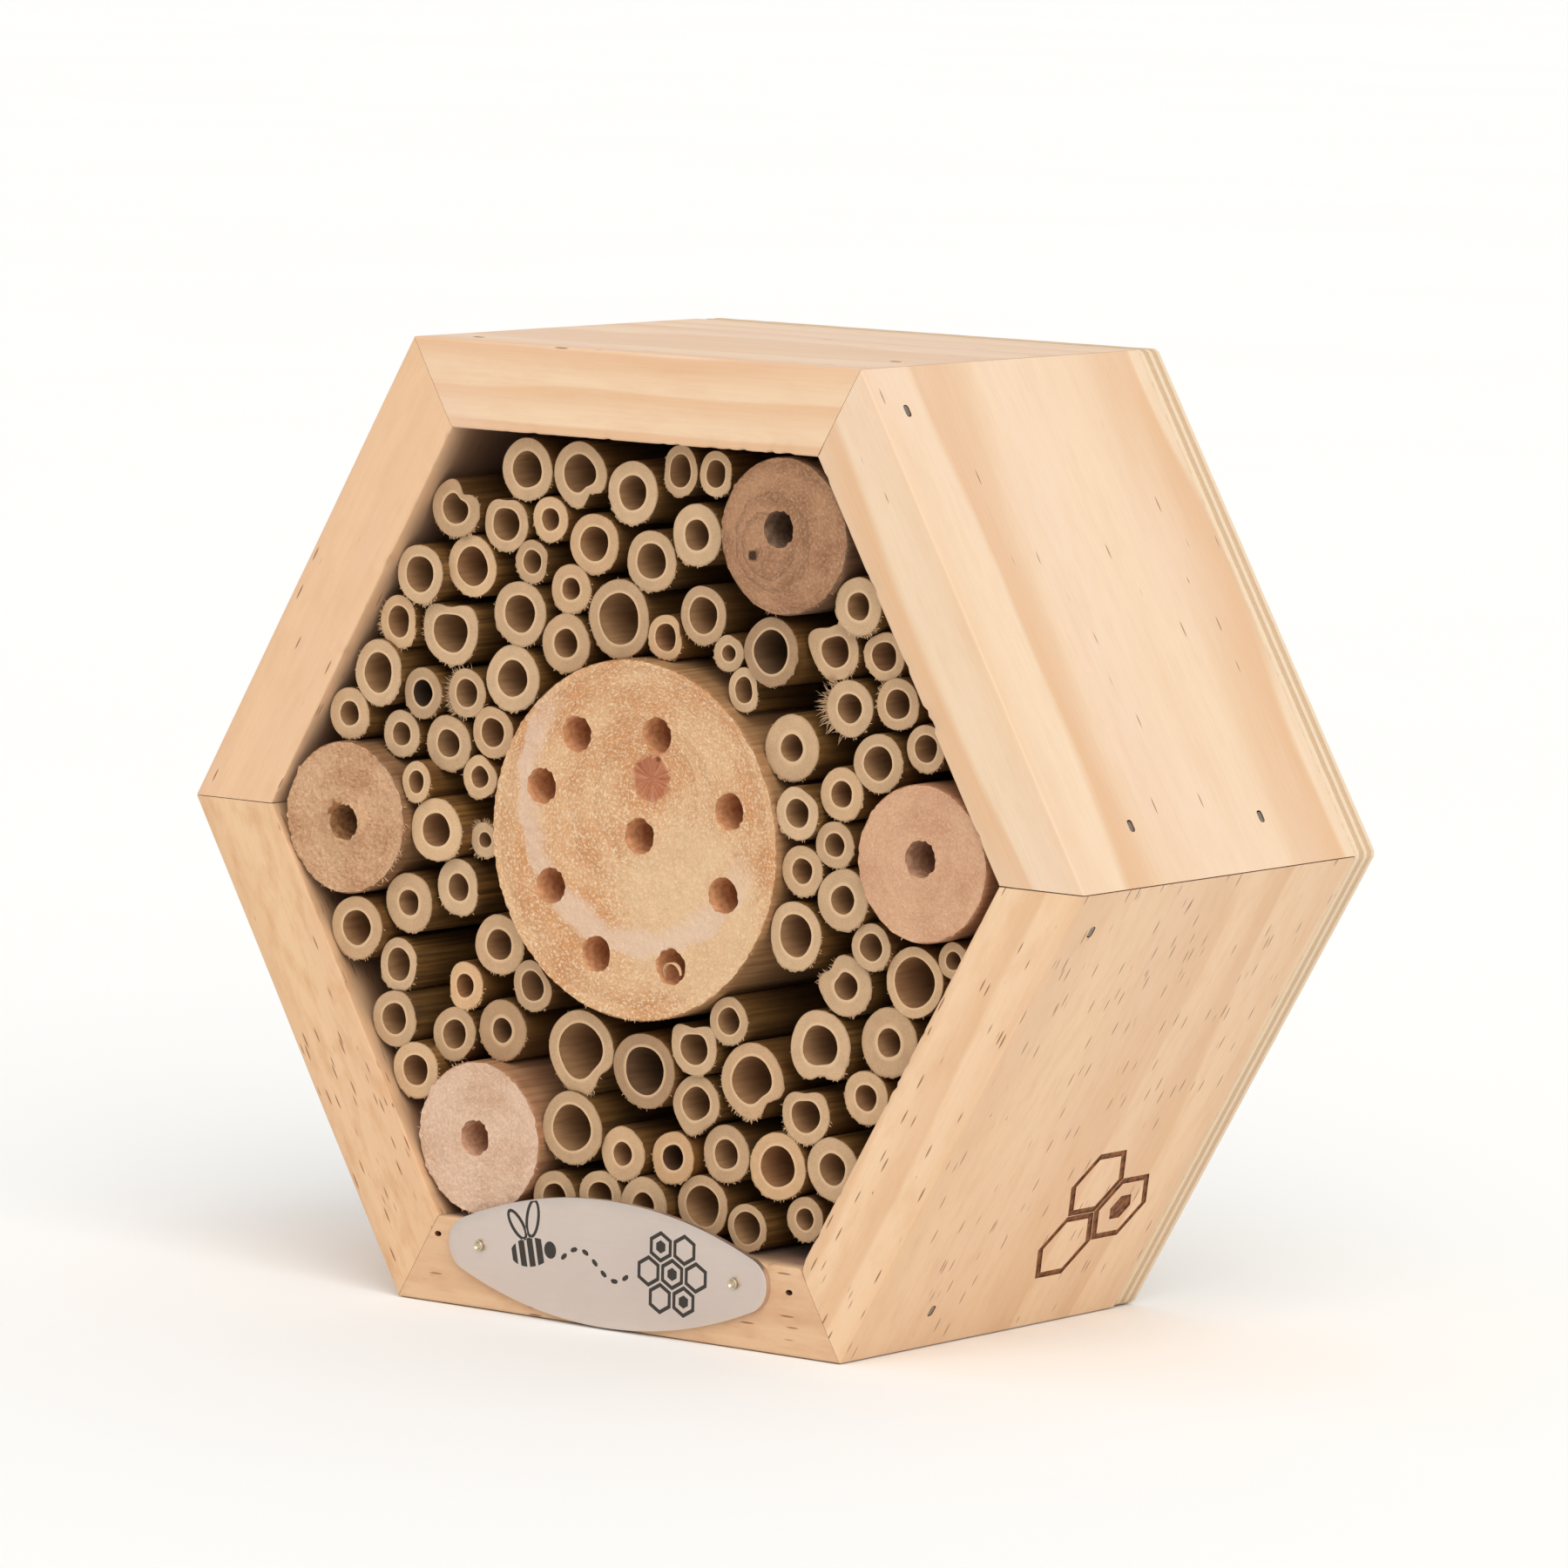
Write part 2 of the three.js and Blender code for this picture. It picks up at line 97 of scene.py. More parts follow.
# %% Helpers that make meshes
def ripple(points, size, seed):
    """Smooth noise from about -1 to 1 at each point, with bumps `size` mm wide."""
    shift = Vector((7.31, 3.17, 5.73)) * seed
    return np.array([noise.noise(Vector(p) / size + shift) for p in points])


def band(here, there):
    """Quads between two rings of vertex numbers."""
    here, there = np.asarray(here), np.asarray(there)
    return np.stack([here, np.roll(here, -1), np.roll(there, -1), there], axis=1).tolist()


def loft(rings, closed=False):
    """Vertices and quads through rings of points. A closed loft joins the last to the first."""
    rings = np.asarray(rings, float)
    count, around = rings.shape[:2]
    rows = np.arange(count * around).reshape(count, around)
    faces = [quad for i in range(count - 1) for quad in band(rows[i], rows[i + 1])]
    if closed:
        faces += band(rows[-1], rows[0])
    else:
        faces += [rows[0].tolist(), rows[-1].tolist()]
    return rings.reshape(-1, 3), faces


def inside(points, loop):
    """Which of these flat points lie inside a loop."""
    x, y = points[:, :1], points[:, 1:]
    ax, ay = loop[:, 0], loop[:, 1]
    bx, by = np.roll(ax, -1), np.roll(ay, -1)
    rise = np.where(by == ay, 1, by - ay)
    crosses = ((ay > y) != (by > y)) & (x < (bx - ax) * (y - ay) / rise + ax)
    return crosses.sum(axis=1) % 2 == 1


def sheet(outline, holes, marks, spacing, seed):
    """A flat sheet of triangles. Returns its points, its triangles, and for the outline
    and each hole the numbers of its points. Marks are loops that only draw edges."""
    loops = [np.asarray(loop, float) for loop in (outline, *holes, *marks)]
    low, high = loops[0].min(axis=0), loops[0].max(axis=0)
    columns = np.arange(low[0], high[0], spacing)
    rows = np.arange(low[1], high[1], spacing * 0.87)
    grid = np.array([(x + (i % 2) * spacing / 2, z) for i, z in enumerate(rows) for x in columns])
    grid += np.random.default_rng(seed).uniform(-0.2, 0.2, grid.shape) * spacing
    kept = inside(grid, loops[0])
    for hole in loops[1 : 1 + len(holes)]:
        kept &= ~inside(grid, hole)
    grid = grid[kept]
    edge = np.vstack(loops)
    near = np.array([np.hypot(*(edge - p).T).min() for p in grid])
    grid = grid[near > 0.55 * spacing]
    starts = np.cumsum([0] + [len(loop) for loop in loops])
    edges = [
        (int(a + i), int(a + (i + 1) % (b - a)))
        for a, b in zip(starts[:-1], starts[1:])
        for i in range(b - a)
    ]
    points, _, faces, origins, _, _ = delaunay_2d_cdt(
        [Vector(p) for p in np.vstack([edge, grid])], edges, [], 0, 1e-6
    )
    points, faces = np.array(points), np.array(faces)
    middles = points[faces].mean(axis=1)
    kept = inside(middles, loops[0])
    for hole in loops[1 : 1 + len(holes)]:
        kept &= ~inside(middles, hole)
    number = {old: new for new, olds in enumerate(origins) for old in olds}
    borders = [
        [number[i] for i in range(a, b)] for a, b in zip(starts[:-1], starts[1:])
    ]
    return points, faces[kept].tolist(), borders[: 1 + len(holes)]


def piece(name, vertices, faces, materials, slots=0, sharp=32):
    """An object from points in mm. Edges that turn by more than `sharp` degrees stay sharp."""
    mesh = bpy.data.meshes.new(name)
    mesh.from_pydata((np.asarray(vertices) * MM).tolist(), [], faces)
    for material in materials:
        mesh.materials.append(material)
    numbers = np.broadcast_to(slots, len(faces)).astype(np.int32)
    mesh.polygons.foreach_set("material_index", numbers)
    work = bmesh.new()
    work.from_mesh(mesh)
    bmesh.ops.recalc_face_normals(work, faces=work.faces)
    work.to_mesh(mesh)
    work.free()
    mesh.shade_smooth()
    mesh.set_sharp_from_angle(angle=math.radians(sharp))
    made = bpy.data.objects.new(name, mesh)
    bpy.context.collection.objects.link(made)
    return made


def carve(made, cutters, sharp=32):
    """Cuts each cutter's shape out of a piece. The cut faces keep the cutter's slots."""
    for cutter in cutters:
        cut = made.modifiers.new(cutter.name, "BOOLEAN")
        cut.object = cutter
        cut.solver = "EXACT"
    ready = made.evaluated_get(bpy.context.evaluated_depsgraph_get())
    mesh = bpy.data.meshes.new_from_object(ready)
    made.modifiers.clear()
    made.data = mesh
    mesh.shade_smooth()
    mesh.set_sharp_from_angle(angle=math.radians(sharp))
    for cutter in cutters:
        bpy.data.objects.remove(cutter)


def give(made, name, values):
    """Stores a number or a vector on each vertex, for a material to read."""
    values = np.asarray(values, np.float32)
    many = values.ndim == 2
    kept = made.data.attributes.new(name, "FLOAT_VECTOR" if many else "FLOAT", "POINT")
    kept.data.foreach_set("vector" if many else "value", values.ravel())


def fit(made, slot, *nodes):
    """Fixes a piece to the body, in the place of these CAD nodes."""
    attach(made, "root")
    if nodes:
        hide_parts(*nodes)


def mesh_points(made):
    """A piece's points, in millimetres."""
    found = np.empty(3 * len(made.data.vertices), np.float32)
    made.data.vertices.foreach_get("co", found)
    return found.reshape(-1, 3).astype(float) / MM


print("mesh helpers ready")

# %% [markdown]
# A material in Blender is a small graph of nodes. `add` makes one node, fills in its
# settings, and links its inputs by name or number. `blank` starts a material, with the
# values that are the same all over set on the shader itself.
#
# Colours are written as the hex values that a paint program shows, which are sRGB. The
# shader wants them linear, and `linear` turns one into the other.

# %% Helpers that make materials
def linear(code):
    """A colour's linear values, from its sRGB hex code."""
    shares = [int(code[i : i + 2], 16) / 255 for i in (1, 3, 5)]
    return (*[s / 12.92 if s <= 0.04045 else ((s + 0.055) / 1.055) ** 2.4 for s in shares], 1.0)


def add(tree, kind, inputs, **settings):
    """Adds a shader node and returns its outputs."""
    made = tree.nodes.new("ShaderNode" + kind)
    for name, value in settings.items():
        setattr(made, name, value)
    for name, value in inputs.items():
        if isinstance(value, bpy.types.NodeSocket):
            tree.links.new(value, made.inputs[name])
        else:
            made.inputs[name].default_value = value
    return made.outputs


def blank(name, **values):
    material = bpy.data.materials.new(name)
    material.use_nodes = True
    tree = material.node_tree
    surface = tree.nodes["Principled BSDF"].inputs
    for socket, value in values.items():
        surface[socket.replace("_", " ")].default_value = value
    return material, tree, surface


# Settings that many nodes share.
RGB = {"data_type": "RGBA"}
TINT = {"data_type": "RGBA", "blend_type": "MULTIPLY"}
SMOOTH = {"interpolation_type": "SMOOTHSTEP"}
TIMES = {"operation": "MULTIPLY"}
TIMES_PLUS = {"operation": "MULTIPLY_ADD"}
print("material helpers ready")

# %% [markdown]
# ## Planed pine
#
# A board is a slice of a trunk. Each year the tree adds a ring: wide pale wood in spring,
# then a narrower orange band by autumn. A board shows those rings as stripes along its
# length, because the saw ran along the trunk. So the pattern isn't painted on the faces.
# Each vertex keeps its place in the trunk, in millimetres along it and away from its
# pith, and the rings are worked out from the distance to the pith. The stripes then run on
# over every edge of the board, as they do on a real one.
#
# Pine also has resin canals, which planing opens as short thin dark dashes, and a fine
# silky grain that gives a soft sheen.

# %% Planed pine
def planed_pine(name, pale, warm, pinkish, ring_gap, contrast, mottle, dashes):
    material, tree, surface = blank(name, Roughness=0.55, Sheen_Weight=0.16, Sheen_Roughness=0.4)
    place = add(tree, "Attribute", {}, attribute_name="trunk")["Vector"]
    # Rings wander by a few millimetres, over lengths of about 90 mm.
    slow = add(tree, "VectorMath", {0: place, 1: (1 / 90, 1 / 16, 1 / 16)}, **TIMES)[0]
    wander = add(tree, "TexNoise", {"Vector": slow, "Scale": 1.0, "Detail": 1.5})["Fac"]
    flat = add(tree, "VectorMath", {0: place, 1: (0, 1, 1)}, **TIMES)[0]
    radius = add(tree, "VectorMath", {0: flat}, operation="LENGTH")["Value"]
    bent = add(tree, "Math", {0: wander, 1: 9.0, 2: radius}, **TIMES_PLUS)[0]
    years = add(tree, "Math", {0: bent, 1: ring_gap}, operation="DIVIDE")[0]
    season = add(tree, "Math", {0: years}, operation="FRACT")[0]
    year = add(tree, "Math", {0: years}, operation="FLOOR")[0]
    growth = add(tree, "TexWhiteNoise", {"W": year}, noise_dimensions="1D")["Value"]
    autumn = add(tree, "MapRange", {0: season, 1: 0.15, 2: 0.86}, **SMOOTH)[0]
    winter = add(tree, "MapRange", {0: season, 1: 0.88, 2: 1.0, 3: 1.0, 4: 0.0}, **SMOOTH)[0]
    stripe = add(tree, "Math", {0: autumn, 1: winter}, **TIMES)[0]
    vigour = add(tree, "MapRange", {0: growth, 3: 0.25, 4: 1.0})[0]
    stripe = add(tree, "Math", {0: stripe, 1: vigour}, **TIMES)[0]
    share = add(tree, "Math", {0: stripe, 1: contrast}, **TIMES)[0]
    colour = add(tree, "Mix", {0: share, 6: linear(pale), 7: linear(warm)}, **RGB)[2]
    # Broad patches where the wood is a little pinker, and small ones where it is mottled.
    patch = add(tree, "VectorMath", {0: place, 1: (1 / 60, 1 / 22, 1 / 22)}, **TIMES)[0]
    patchy = add(tree, "TexNoise", {"Vector": patch, "Scale": 1.0, "Detail": 3.0})["Fac"]
    pink = add(tree, "MapRange", {0: patchy, 1: 0.4, 2: 0.7, 3: 0.0, 4: 0.45})[0]
    colour = add(tree, "Mix", {0: pink, 6: colour, 7: linear(pinkish)}, **RGB)[2]
    small = add(tree, "VectorMath", {0: place, 1: (1 / 9, 1 / 2.6, 1 / 2.6)}, **TIMES)[0]
    curdled = add(tree, "TexNoise", {"Vector": small, "Scale": 1.0, "Detail": 4.0, "Roughness": 0.6})["Fac"]
    blotch = add(tree, "MapRange", {0: curdled, 1: 0.46, 2: 0.72, 3: 0.0, 4: mottle})[0]
    colour = add(tree, "Mix", {0: blotch, 6: colour, 7: linear(warm)}, **RGB)[2]
    # Fibres are far finer than this in pine. They are drawn 0.5 mm wide, so that they show.
    thin = add(tree, "VectorMath", {0: place, 1: (1 / 26, 1 / 0.5, 1 / 0.5)}, **TIMES)[0]
    fibre = add(tree, "TexNoise", {"Vector": thin, "Scale": 1.0, "Detail": 4.0, "Roughness": 0.6})["Fac"]
    tone = add(tree, "MapRange", {0: fibre, 1: 0.25, 2: 0.75, 3: 0.955, 4: 1.03})[0]
    colour = add(tree, "Mix", {0: 1.0, 6: colour, 7: tone}, **TINT)[2]
    # Resin canals: dashes about 3 mm long and 0.3 mm wide, in a share of the cells.
    cells = add(tree, "VectorMath", {0: place, 1: (1 / 8, 1 / 0.82, 1 / 0.82)}, **TIMES)[0]
    canals = add(tree, "TexVoronoi", {"Vector": cells, "Scale": 1.0})
    core = add(tree, "MapRange", {0: canals["Distance"], 1: 0.14, 2: 0.24, 3: 1.0, 4: 0.0}, **SMOOTH)[0]
    lot = add(tree, "SeparateColor", {0: canals["Color"]})[0]
    crowd = add(tree, "MapRange", {0: patchy, 1: 0.35, 2: 0.7, 3: 1.0, 4: 1 - 2 * dashes})[0]
    chosen = add(tree, "Math", {0: lot, 1: crowd}, operation="GREATER_THAN")[0]
    dash = add(tree, "Math", {0: core, 1: chosen}, **TIMES)[0]
    dash = add(tree, "Math", {0: dash, 1: 0.8}, **TIMES)[0]
    colour = add(tree, "Mix", {0: dash, 6: colour, 7: linear("#7F4E2B")}, **RGB)[2]
    # Painted shade: the inner face browns from its front edge back, for the shade inside the box.
    painted_shade = add(tree, "Attribute", {}, attribute_name="inner_face_shade")["Fac"]
    painted_shade = add(tree, "Math", {0: painted_shade, 1: 0.85}, **TIMES)[0]
    colour = add(tree, "Mix", {0: painted_shade, 6: colour, 7: linear("#6E4427")}, **RGB)[2]
    tree.links.new(colour, surface["Base Color"])
    # The autumn bands are denser, so they take a slightly better polish.
    shine = add(tree, "MapRange", {0: stripe, 3: 0.62, 4: 0.5})[0]
    tree.links.new(shine, surface["Roughness"])
    height = add(tree, "Math", {0: fibre, 1: dash}, operation="SUBTRACT")[0]
    bump = add(tree, "Bump", {"Height": height, "Distance": 0.05 * MM, "Strength": 0.8})["Normal"]
    tree.links.new(bump, surface["Normal"])
    return material


# Pale, warm and pinkish colour, ring gap in mm, contrast, mottle, and share of dashes.
PINE_LOOKS = {
    "top": ("#E8C8A5", "#DBAA7E", "#E4C2AC", 6.4, 0.9, 0.25, 0.05),
    "upper_right": ("#E8CCAC", "#DAAE84", "#E7CAB5", 11.0, 0.9, 0.2, 0.05),
    "lower_right": ("#EAC7A0", "#D5A474", "#E4BFA1", 8.0, 0.75, 0.35, 0.4),
    "bottom": ("#DDB78F", "#C8966C", "#D6AC8B", 9.0, 0.5, 0.6, 0.42),
    "lower_left": ("#E2BC92", "#D09E70", "#DDB392", 12.0, 0.4, 0.85, 0.62),
    "upper_left": ("#E3BB93", "#D4A37B", "#E0B799", 13.0, 0.45, 0.3, 0.16),
}
PINES = {side: planed_pine(f"planed_pine_{side}", *look) for side, look in PINE_LOOKS.items()}
print(len(PINES), "kinds of pine")

# %% [markdown]
# Two of the boards' marks are their own materials. A branding iron chars the wood where it
# presses, darkest at the edges of each line. The small round holes of pulled nails take the
# same dark brown inside.

# %% Scorched pine and old nail holes
def charred_pine():
    material, tree, surface = blank("charred_pine", Roughness=0.9)
    place = add(tree, "TexCoord", {})["Object"]
    blotch = add(tree, "TexNoise", {"Vector": place, "Scale": 1 / (1.1 * MM), "Detail": 4.0})["Fac"]
    share = add(tree, "MapRange", {0: blotch, 1: 0.35, 2: 0.68})[0]
    colour = add(tree, "Mix", {0: share, 6: linear("#5E3820"), 7: linear("#9A6238")}, **RGB)[2]
    tree.links.new(colour, surface["Base Color"])
    bump = add(tree, "Bump", {"Height": blotch, "Distance": 0.08 * MM})["Normal"]
    tree.links.new(bump, surface["Normal"])
    return material


CHARRED = charred_pine()
print("scorched pine ready")

# %% [markdown]
# ## The boards
#
# Each board is planed square, then mitred at 60 degrees at both ends so that six close into
# a ring. A loft suits it: one rounded outline, repeated along the board, with every ring
# squeezed so that the end rings lie in the mitres. The planer leaves the faces a few
# hundredths of a millimetre out of true, and the sawn inner edge has small nicks.

# %% Lay out a board
SIDES = ["top", "upper_right", "lower_right", "bottom", "lower_left", "upper_left"]


def axes_of(k):
    """Outwards, and along the side clockwise as seen from the front."""
    angle = k * math.pi / 3
    outwards = np.array([math.sin(angle), 0, math.cos(angle)])
    clockwise = np.array([math.cos(angle), 0, -math.sin(angle)])
    return outwards, clockwise


def on_board(k, along, behind, inwards):
    """Points of side k, from its middle, its front face and its outer face."""
    outwards, clockwise = axes_of(k)
    along, behind, inwards = (np.asarray(v, float)[..., None] for v in (along, behind, inwards))
    backwards = np.array([0, 1, 0])
    return CENTRE + outwards * (APOTHEM - inwards) + clockwise * along + backwards * (FRONT + behind)


def from_board(k, points):
    outwards, clockwise = axes_of(k)
    flat = points - CENTRE
    return np.stack([flat @ clockwise, points[:, 1] - FRONT, APOTHEM - flat @ outwards], axis=1)


def rounded(width, height, radius, step):
    """A rectangle's outline from (0, 0), with rounded corners and no long gaps."""
    corners = [
        (width - radius, height - radius, 0),
        (radius, height - radius, 1),
        (radius, radius, 2),
        (width - radius, radius, 3),
    ]
    turns = [(x, y, (q + t / 3) * math.pi / 2) for x, y, q in corners for t in range(4)]
    outline = np.array([(x + radius * math.cos(a), y + radius * math.sin(a)) for x, y, a in turns])
    dense = []
    for here, there in zip(outline, np.roll(outline, -1, axis=0)):
        parts = max(1, round(np.hypot(*(there - here)) / step))
        dense += [here + (there - here) * i / parts for i in range(parts)]
    return np.array(dense)


print("a board's outline has", len(rounded(DEPTH, THICKNESS, 0.5, 3.0)), "points")

# %% [markdown]
# The brads are what a pneumatic nailer drives: thin steel with a small T-shaped head, left
# just under the surface. Beside each mitre one goes in from either board, leaning 30
# degrees so that it runs down the middle of its neighbour. The CAD nodes say where.

# %% Find the brads
REAR_BRAD = 59  # a second brad further back, at the far end of some boards
BY_EYE = {"brad_upper_right_into_lower_right": -3.0}  # this one was driven further in


def brad_head(node, k):
    """Where the middle of a brad's head meets the board's outer face, along and behind."""
    points = np.unique(np.round(points_of(node), 3), axis=0)
    local = from_board(k, points)
    top = local[local[:, 2] < local[:, 2].min() + 0.9]
    along, behind, _ = (top.min(axis=0) + top.max(axis=0)) / 2
    return along, behind


brads = []
for k, side in enumerate(SIDES):
    for step, lean in ((1, 1), (5, -1)):
        node = f"brad_{side}_into_{SIDES[(k + step) % 6]}"
        along, behind = brad_head(node, k)
        brads.append((node, k, along + BY_EYE.get(node, 0.0), behind, lean, (node,)))
for side in ("upper_right", "bottom", "lower_left", "upper_left"):
    k = SIDES.index(side)
    along = next(b[2] for b in brads if b[1] == k and b[4] == 1)
    brads.append((f"brad_{side}_rear", k, along + 1.5, REAR_BRAD, 1, ()))
print(len(brads), "brads, the first at", np.round(brads[0][2:4], 1))

# %% [markdown]
# The mark burnt into the lower right board is a plain sign of three comb cells, one of
# them capped. A branding iron presses about a quarter of a millimetre into softwood, so it
# is cut into the mesh, not only coloured.

# %% Shapes that are cut out of the boards
ABOVE = -1.0  # cutters start 1 mm outside the board, so that they cut cleanly
BURN = 0.28  # how deep the iron pressed


def prism(name, loops, k, along, behind, depth, materials, slot):
    """Upright prisms on side k, from above its outer face down to a depth, from flat loops."""
    made = []
    for i, loop in enumerate(loops):
        loop = np.asarray(loop) + [along, behind]
        rings = [on_board(k, loop[:, 0], loop[:, 1], np.full(len(loop), d)) for d in (ABOVE, depth)]
        vertices, faces = loft(rings)
        made.append(piece(f"{name}_{i}", vertices, faces, materials, slot))
    return made


def cell(x, y, radius, width):
    """The outer and the inner outline of a six-sided cell's wall."""
    turns = [math.pi / 6 + i * math.pi / 3 for i in range(6)]
    outer = [(x + (radius + width) * math.cos(a), y + (radius + width) * math.sin(a)) for a in turns]
    inner = [(x + radius * math.cos(a), y + radius * math.sin(a)) for a in turns]
    return outer, inner


COMB = {"radius": 6.4, "line": 1.5, "pitch": 13.8, "along": 25.0, "behind": 57.5}


def comb_cutters(k, materials):
    """The three cells' walls, as closed rings with a square section."""
    made = []
    for i, turn in enumerate((90, 210, 330)):
        reach = COMB["pitch"] / math.sqrt(3)
        x = COMB["along"] + reach * math.cos(math.radians(turn))
        y = COMB["behind"] + reach * math.sin(math.radians(turn))
        outer, inner = (np.array(loop) for loop in cell(x, y, COMB["radius"], COMB["line"]))
        rings = [
            on_board(k, loop[:, 0], loop[:, 1], np.full(6, d))
            for loop, d in ((outer, ABOVE), (outer, BURN), (inner, BURN), (inner, ABOVE))
        ]
        vertices, faces = loft(rings, closed=True)
        made.append(piece(f"comb_{i}", vertices, faces, materials, 1))
    x = COMB["along"]
    y = COMB["behind"] + COMB["pitch"] / math.sqrt(3)
    dot = cell(x, y, 0.0, 3.0)[0]
    return made + prism("cap", [dot], k, 0, 0, BURN, materials, 1)


def brad_slot(k, along, behind, materials):
    dent = rounded(2.3, 1.5, 0.6, 5) - [1.15, 0.75]
    return prism("brad_slot", [dent], k, along, behind, 0.9, materials, 1)


print("comb mark", 2 * COMB["pitch"], "mm across")

# %% [markdown]
# All six boards share one maker. What differs is the pith: a board whose pith lies well
# behind its outer face shows broad flat stripes there, and one cut nearer to it shows
# narrow straight ones. The joints at the two side corners have opened a little, as glued
# mitres in softwood do.

# %% Saw the boards
MITRE_GAPS = {"top": (0.05, 0.05), "upper_right": (0.05, 0.12), "lower_right": (0.12, 0.05),
              "bottom": (0.05, 0.05), "lower_left": (0.05, 0.09), "upper_left": (0.09, 0.05)}
# Where each board's pith is, in mm behind its front face and inwards of its outer face.
PITHS = {"top": (30, 58), "upper_right": (46, 64), "lower_right": (22, 70),
         "bottom": (60, 50), "lower_left": (52, -40), "upper_left": (10, 66)}


def board(k):
    side = SIDES[k]
    outline = rounded(DEPTH, THICKNESS, 0.45, 2.6)
    behind, inwards = outline[:, 0], outline[:, 1]
    edge = (behind < 1.2) & (inwards > THICKNESS - 1.2)
    rings = []
    for share in np.linspace(-1, 1, 80):
        gap = MITRE_GAPS[side][0] if share < 0 else MITRE_GAPS[side][1]
        along = share * ((APOTHEM - inwards) / math.sqrt(3) - gap)
        place = np.stack([along, behind, inwards], axis=1)
        waves = ripple(place, 24.0, k + 1) * 0.06
        nicks = np.where(edge, np.clip(ripple(place, 1.9, k + 20) - 0.25, 0, 1) * 0.9, 0)
        rings.append(on_board(k, along, behind + waves + nicks, inwards + waves - nicks))
    vertices, faces = loft(rings)
    materials = [PINES[side], CHARRED]
    made = piece(f"{side}_board", vertices, faces, materials)
    cutters = [c for b in brads if b[1] == k for c in brad_slot(k, b[2], b[3], materials)]
    if side == "lower_right":
        cutters += comb_cutters(k, materials)
    if side == "bottom":
        cutters += nail_holes(materials)
    carve(made, cutters)
    local = from_board(k, mesh_points(made))
    pith = PITHS[side]
    trunk = local - [-140.0 * k, pith[0], pith[1]]
    give(made, "trunk", trunk)
    behind, inwards = local[:, 1], local[:, 2]
    # A mask for the painted shade inside the box: 0 at the inner face's front edge, 1 from 6.5 mm back.
    give(made, "inner_face_shade", np.clip((behind - 0.5) / 6, 0, 1) * (inwards > THICKNESS - 0.4))
    fit(made, "pine_board", f"board_{side}")
    return made


def upright_ring(x, y, z, wide, high, sides):
    """An oval of points round an axis that runs from front to back."""
    turns = np.linspace(0, 2 * math.pi, sides, endpoint=False)
    return np.stack([x + wide * np.cos(turns), np.full(sides, y), z + high * np.sin(turns)], axis=1)


def nail_holes(materials):
    """Two small old nail holes in the bottom board's front edge."""
    made = []
    for i, (x, z) in enumerate(((-40.9, -74.2), (38.7, -75.4))):
        rings = [
            upright_ring(x, FRONT + y, CENTRE[2] + z, 0.75 * share, 0.5 * share, 14)
            for share, y in ((1.1, -1.0), (1.0, 0.3), (0.7, 2.5), (0.2, 4.0))
        ]
        vertices, faces = loft(rings)
        made.append(piece(f"nail_hole_{i}", vertices, faces, materials, 1))
    return made


boards = [board(k) for k in range(6)]
print("boards:", sum(len(b.data.polygons) for b in boards), "faces")

# %% [markdown]
# ## Steel fixings
#
# Bright zinc plating is a thin bluish grey metal skin. It is smooth but not polished, with
# a cloudy variation in its shine. Nailer brads are plain steel wire, a little darker. The
# plaque's pins are drawn brass, which is pale and yellowish. One maker serves all three.

# %% Plated steel and brad wire
def steel(name, colour, cloud, roughness, cloud_size):
    material, tree, surface = blank(name, Metallic=1.0)
    place = add(tree, "TexCoord", {})["Object"]
    drift = add(tree, "TexNoise", {"Vector": place, "Scale": 1 / (cloud_size * MM), "Detail": 3.0})["Fac"]
    mixed = add(tree, "Mix", {0: drift, 6: linear(colour), 7: linear(cloud)}, **RGB)[2]
    tree.links.new(mixed, surface["Base Color"])
    shine = add(tree, "MapRange", {0: drift, 1: 0.3, 2: 0.7, 3: roughness - 0.07, 4: roughness + 0.1})[0]
    tree.links.new(shine, surface["Roughness"])
    bump = add(tree, "Bump", {"Height": drift, "Distance": 0.02 * MM})["Normal"]
    tree.links.new(bump, surface["Normal"])
    return material


ZINC = steel("zinc_plated_steel", "#B9BCC0", "#9A9DA2", 0.36, 2.5)
WIRE = steel("drawn_steel_wire", "#A39C92", "#857D73", 0.5, 0.9)
BRASS = steel("drawn_brass", "#DACDB8", "#C2B294", 0.42, 1.2)
print("three bare metals ready")

# %% Make the brads
HEAD = rounded(2.1, 1.3, 0.5, 5) - [1.05, 0.65]
SHANK = rounded(1.2, 0.9, 0.2, 5) - [0.6, 0.45]


def brad(name, k, along, behind, lean, nodes):
    """Head rings lie flat in the board's face. Shank rings lean towards the neighbour."""
    rings = []
    for scale, outline, depth in (
        (0.35, HEAD, 0.1), (0.92, HEAD, 0.12), (1.0, HEAD, 0.22), (1.0, HEAD, 0.75), (1.0, SHANK, 1.1),
        (1.0, SHANK, 14.0), (1.0, SHANK, 23.5), (0.15, SHANK, 25.0),
    ):
        slip = lean * math.tan(math.pi / 6) * depth
        rings.append(on_board(k, along + slip + scale * outline[:, 0], behind + scale * outline[:, 1],
                              np.full(len(outline), depth)))
    vertices, faces = loft(rings)
    made = piece(name, vertices, faces, [WIRE])
    fit(made, "zinc_steel", *nodes)
    return made


for name, k, along, behind, lean, nodes in brads:
    brad(f"wire_{name}", k, along, behind, lean, nodes)
print(len(brads), "brads made")

# %% [markdown]
# ## Plywood
#
# The back is 6 mm plywood: five sheets of veneer glued with their grain crossed. On its
# edge the sheets show as pale and brownish lines in turn, because every other one is cut
# across its fibres. On its face the lathe-peeled veneer shows long wandering arches.

